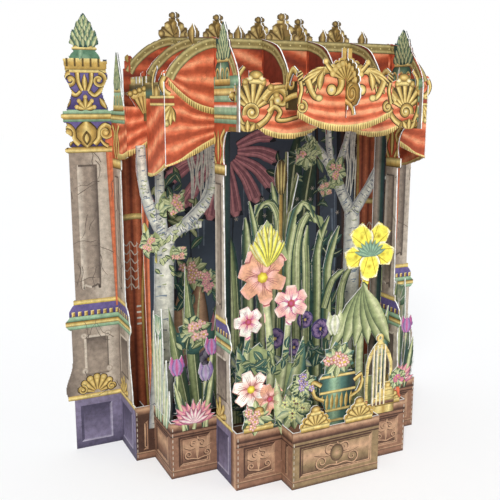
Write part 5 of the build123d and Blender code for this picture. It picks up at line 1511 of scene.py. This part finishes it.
def draw_bay():
    """Front bay: tan planter with rail shells, and the canopy cloth with its scrolls, ribs and middle shell."""
    draw_bay_planter()
    sides = [(-3, 220, 110, 262, "cloth_deep"), CREST_FIELD, (92, 220, 110, 246, "gold_deep")]
    card_material("bay_canopy", [("y", BAY_Y, "cloth", [(-13, 236, 13, 255, "gold")]), ("x", -BAY_X, "olive", sides),
                                 ("x", BAY_X, "olive", sides)])
    p = Print("print_canopy_front", "y", BAY_Y)
    hem = [(-29.9, 218.4), (-20, 213.6), (-10, 211.0), (0, 210.2), (10, 211.0), (20, 213.6), (29.9, 218.4)]
    p.cloth([(-29.9, 240), (-18, 244), (0, 244), (18, 244), (29.9, 240)], hem, BRIGHT, folds(5.6, 0.0, 6), 1, 70, 40)
    p.fringe([(-29.9, 221.0), (-20, 216.2), (-10, 213.8), (0, 213.0), (10, 213.8), (20, 216.2), (29.9, 221.0)], 4.4, 3)
    for s in (-1, 1):
        acanthus(p, s)
    scallop(p, 0, 236.4, 11.2, 9, 150, 5)
    p.band(-3.2, 249.6, 3.2, 253.8, "gold_deep gold gold_light gold", 8)
    p.build("bay_canopy")
    for name, node, place in (("print_canopy_side", "bay_canopy", -BAY_X), ("print_centre_rib", "centre_rib", 0.0)):
        q = Print(name, "x", place)
        rib_print(q)
        gilt(q, [(93, 232), (97, 239), (101, 242.4), (105, 240)], 3.4, 3.0, 5)
        gilt_scroll(q, 99.6, 235.6, 3.8, 1.0, 1.2, 2.2, 1, 180, 6)
        gilt(q, [(94, 236), (95.4, 242), (94, 247)], 2.4, 1.4, 5)
        gilt(q, [(92, 226), (99, 228), (105.6, 229)], 3.0, 3.0, 4)
        if node == "centre_rib":
            q.disc(112.3, 230, 7.2, 7.2, "gold_dark gold gold_dark", 4)
            gilt_scroll(q, 112.3, 230, 5.6, 1.4, 1.2, 2.2, 1, 90, 6)
            scallop(q, BAY_Y, 235, 11.6, 9, 178, 4)
            gilt(q, [(105.5, 226), (112, 223), (113.9, 218.6)], 3.0, 2.0, 5)
        q.build(node, mirrored=node != "centre_rib", back=True)
    ribs = [(-3, 220, 110, 262, "cloth_deep"), CREST_FIELD, (92, 215, 125, 250, "gold_dark")]
    card_material("centre_rib", [("x", 0.0, "olive", ribs)])


def seen_rays(tree):
    """One for rays from the camera, in reflections and through glass, which see the studio white, and else nought."""
    path = add_node(tree, "ShaderNodeLightPath")
    seen = path.outputs["Is Camera Ray"]
    for ray in ("Is Glossy Ray", "Is Transmission Ray"):
        seen = add_node(tree, "ShaderNodeMath", {0: seen, 1: path.outputs[ray]}, operation="MAXIMUM")
    return seen


class CARD_OT_back_panel(bpy.types.Operator):
    """Prints the back panel"""
    bl_idname = "card.back_panel"
    bl_label = "Print the back panel"

    def execute(self, context):
        draw_back_panel()
        return {"FINISHED"}


class CARD_OT_outer_tier(bpy.types.Operator):
    """Prints the rear tier"""
    bl_idname = "card.outer_tier"
    bl_label = "Print the rear tier"

    def execute(self, context):
        draw_outer_tier()
        return {"FINISHED"}


class CARD_OT_second_tier(bpy.types.Operator):
    """Prints the middle tier"""
    bl_idname = "card.second_tier"
    bl_label = "Print the middle tier"

    def execute(self, context):
        draw_second_tier()
        return {"FINISHED"}


class CARD_OT_third_tier(bpy.types.Operator):
    """Prints the front tier"""
    bl_idname = "card.third_tier"
    bl_label = "Print the front tier"

    def execute(self, context):
        draw_third_tier()
        return {"FINISHED"}


class CARD_OT_rows(bpy.types.Operator):
    """Prints the rows of leaves and flowers"""
    bl_idname = "card.rows"
    bl_label = "Print the rows"

    def execute(self, context):
        draw_rows()
        return {"FINISHED"}


class CARD_OT_bay(bpy.types.Operator):
    """Prints the front bay and the ribs"""
    bl_idname = "card.bay"
    bl_label = "Print the bay"

    def execute(self, context):
        draw_bay()
        return {"FINISHED"}


class CARD_OT_stage(bpy.types.Operator):
    """Floor, backdrop light and camera of the studio"""
    bl_idname = "card.stage"
    bl_label = "Build the stage"

    def execute(self, context):
        scene = context.scene
        sizes = scene.card_sizes
        scene.view_settings.view_transform = "Standard"
        # The floor is a flat square grid of nine by nine points.
        u = np.linspace(-sizes.floor, sizes.floor, 9)
        x, y = np.meshgrid(u, u)
        mesh = bpy.data.meshes.new("floor")
        index = np.arange(81).reshape(9, 9)
        faces = np.stack([index[:-1, :-1], index[:-1, 1:], index[1:, 1:], index[1:, :-1]], -1).reshape(-1, 4)
        # Just under the card, so that the two don't touch.
        under = -0.00002
        mesh.from_pydata([(a, b, under) for a, b in zip(x.ravel(), y.ravel())], [], faces.tolist())
        floor = bpy.data.objects.new("floor", mesh)
        scene.collection.objects.link(floor)
        # Matt painted board: a plain pale ground with a soft shadow.
        material, tree, shader = new_material("pale_painted_board")
        shader.inputs["Roughness"].default_value = 0.9
        place = add_node(tree, "ShaderNodeTexCoord").outputs["Object"]
        cloud = add_node(tree, "ShaderNodeTexNoise", {"Vector": place, "Scale": across_mm(167.0), "Detail": 2.0})
        tone = add_node(tree, "ShaderNodeMapRange", {"Value": cloud, "To Min": 0.92, "To Max": 0.94})
        tree.links.new(tone.outputs[0], shader.inputs["Base Color"])
        white = add_node(tree, "ShaderNodeEmission", {"Color": (1, 1, 1, 1), "Strength": 1.0})
        part = add_node(tree, "ShaderNodeMath", {0: seen_rays(tree), 1: 0.4}, operation="MULTIPLY")
        both = add_node(tree, "ShaderNodeMixShader", {0: part.outputs[0], 1: shader.outputs[0], 2: white.outputs[0]})
        out = next(n for n in tree.nodes if n.type == "OUTPUT_MATERIAL")
        tree.links.new(both.outputs[0], out.inputs["Surface"])
        mesh.materials.append(material)

        world = bpy.data.worlds.new("studio")
        scene.world = world
        world.use_nodes = True
        tree = world.node_tree
        tree.nodes.clear()
        seen = add_node(tree, "ShaderNodeBackground", {"Color": (1, 1, 1, 1), "Strength": 1.0})
        lit = add_node(tree, "ShaderNodeBackground", {"Color": (0.95, 0.97, 1.0, 1), "Strength": 0.6})
        both = add_node(tree, "ShaderNodeMixShader", {0: seen_rays(tree), 1: lit.outputs[0], 2: seen.outputs[0]})
        out = tree.nodes.new("ShaderNodeOutputWorld")
        tree.links.new(both.outputs[0], out.inputs["Surface"])

        # Each lamp: its name, the way its light goes, its width in degrees and its power.
        for name, way, wide, power in (("key", (0.45, 0.72, -0.72), 24.0, 2.1),
                                       ("fill", (-0.7, 0.5, -0.35), 50.0, 0.5)):
            light = bpy.data.lights.new(name, "SUN")
            light.angle = np.radians(wide)
            light.energy = power
            lamp = bpy.data.objects.new(name, light)
            scene.collection.objects.link(lamp)
            lamp.rotation_euler = Vector(way).to_track_quat("-Z", "Y").to_euler()

        # The photograph's viewpoint: place, then turn, tilt and roll in radians.
        place, turn, tilt, roll = (-0.15893, -0.32200, 0.15934), 0.4471, 0.1999, 0.0016
        ahead = np.array([np.sin(turn) * np.cos(tilt), np.cos(turn) * np.cos(tilt), -np.sin(tilt)])
        right = np.array([np.cos(turn), -np.sin(turn), 0.0])
        up = np.cross(right, ahead)
        right, up = right * np.cos(roll) + up * np.sin(roll), up * np.cos(roll) - right * np.sin(roll)
        data = bpy.data.cameras.new("camera")
        data.lens = sizes.lens
        data.sensor_width = 36.0
        camera = bpy.data.objects.new("camera", data)
        scene.collection.objects.link(camera)
        camera.location = place
        camera.rotation_euler = Matrix([[right[i], up[i], -ahead[i]] for i in range(3)]).to_euler()
        scene.camera = camera
        return {"FINISHED"}


class CARD_PT_panel(bpy.types.Panel):
    """Sizes, colours and buttons of the card in the sidebar"""
    bl_label = "Pop-up card"
    bl_idname = "CARD_PT_panel"
    bl_space_type = "VIEW_3D"
    bl_region_type = "UI"
    bl_category = "Card"

    def draw(self, context):
        for group in (context.scene.card_sizes, context.scene.card_colours):
            for key in group.__annotations__:
                self.layout.prop(group, key)
        for kind in OPERATORS:
            self.layout.operator(kind.bl_idname)


OPERATORS = (CARD_OT_back_panel, CARD_OT_outer_tier, CARD_OT_second_tier, CARD_OT_third_tier, CARD_OT_rows,
             CARD_OT_bay, CARD_OT_stage)
CLASSES = (CardColours, CardSizes) + OPERATORS + (CARD_PT_panel,)


def register():
    """Makes the classes known, and hangs the colours and sizes on the scene."""
    for kind in CLASSES:
        bpy.utils.register_class(kind)
    bpy.types.Scene.card_colours = bpy.props.PointerProperty(type=CardColours)
    bpy.types.Scene.card_sizes = bpy.props.PointerProperty(type=CardSizes)


def unregister():
    """Takes back what register did."""
    del bpy.types.Scene.card_sizes
    del bpy.types.Scene.card_colours
    for kind in reversed(CLASSES):
        bpy.utils.unregister_class(kind)


def main():
    """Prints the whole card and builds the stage."""
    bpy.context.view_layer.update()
    register()
    for kind in OPERATORS:
        getattr(bpy.ops.card, kind.bl_idname.split(".")[1])()


if __name__ == "__main__":
    main()
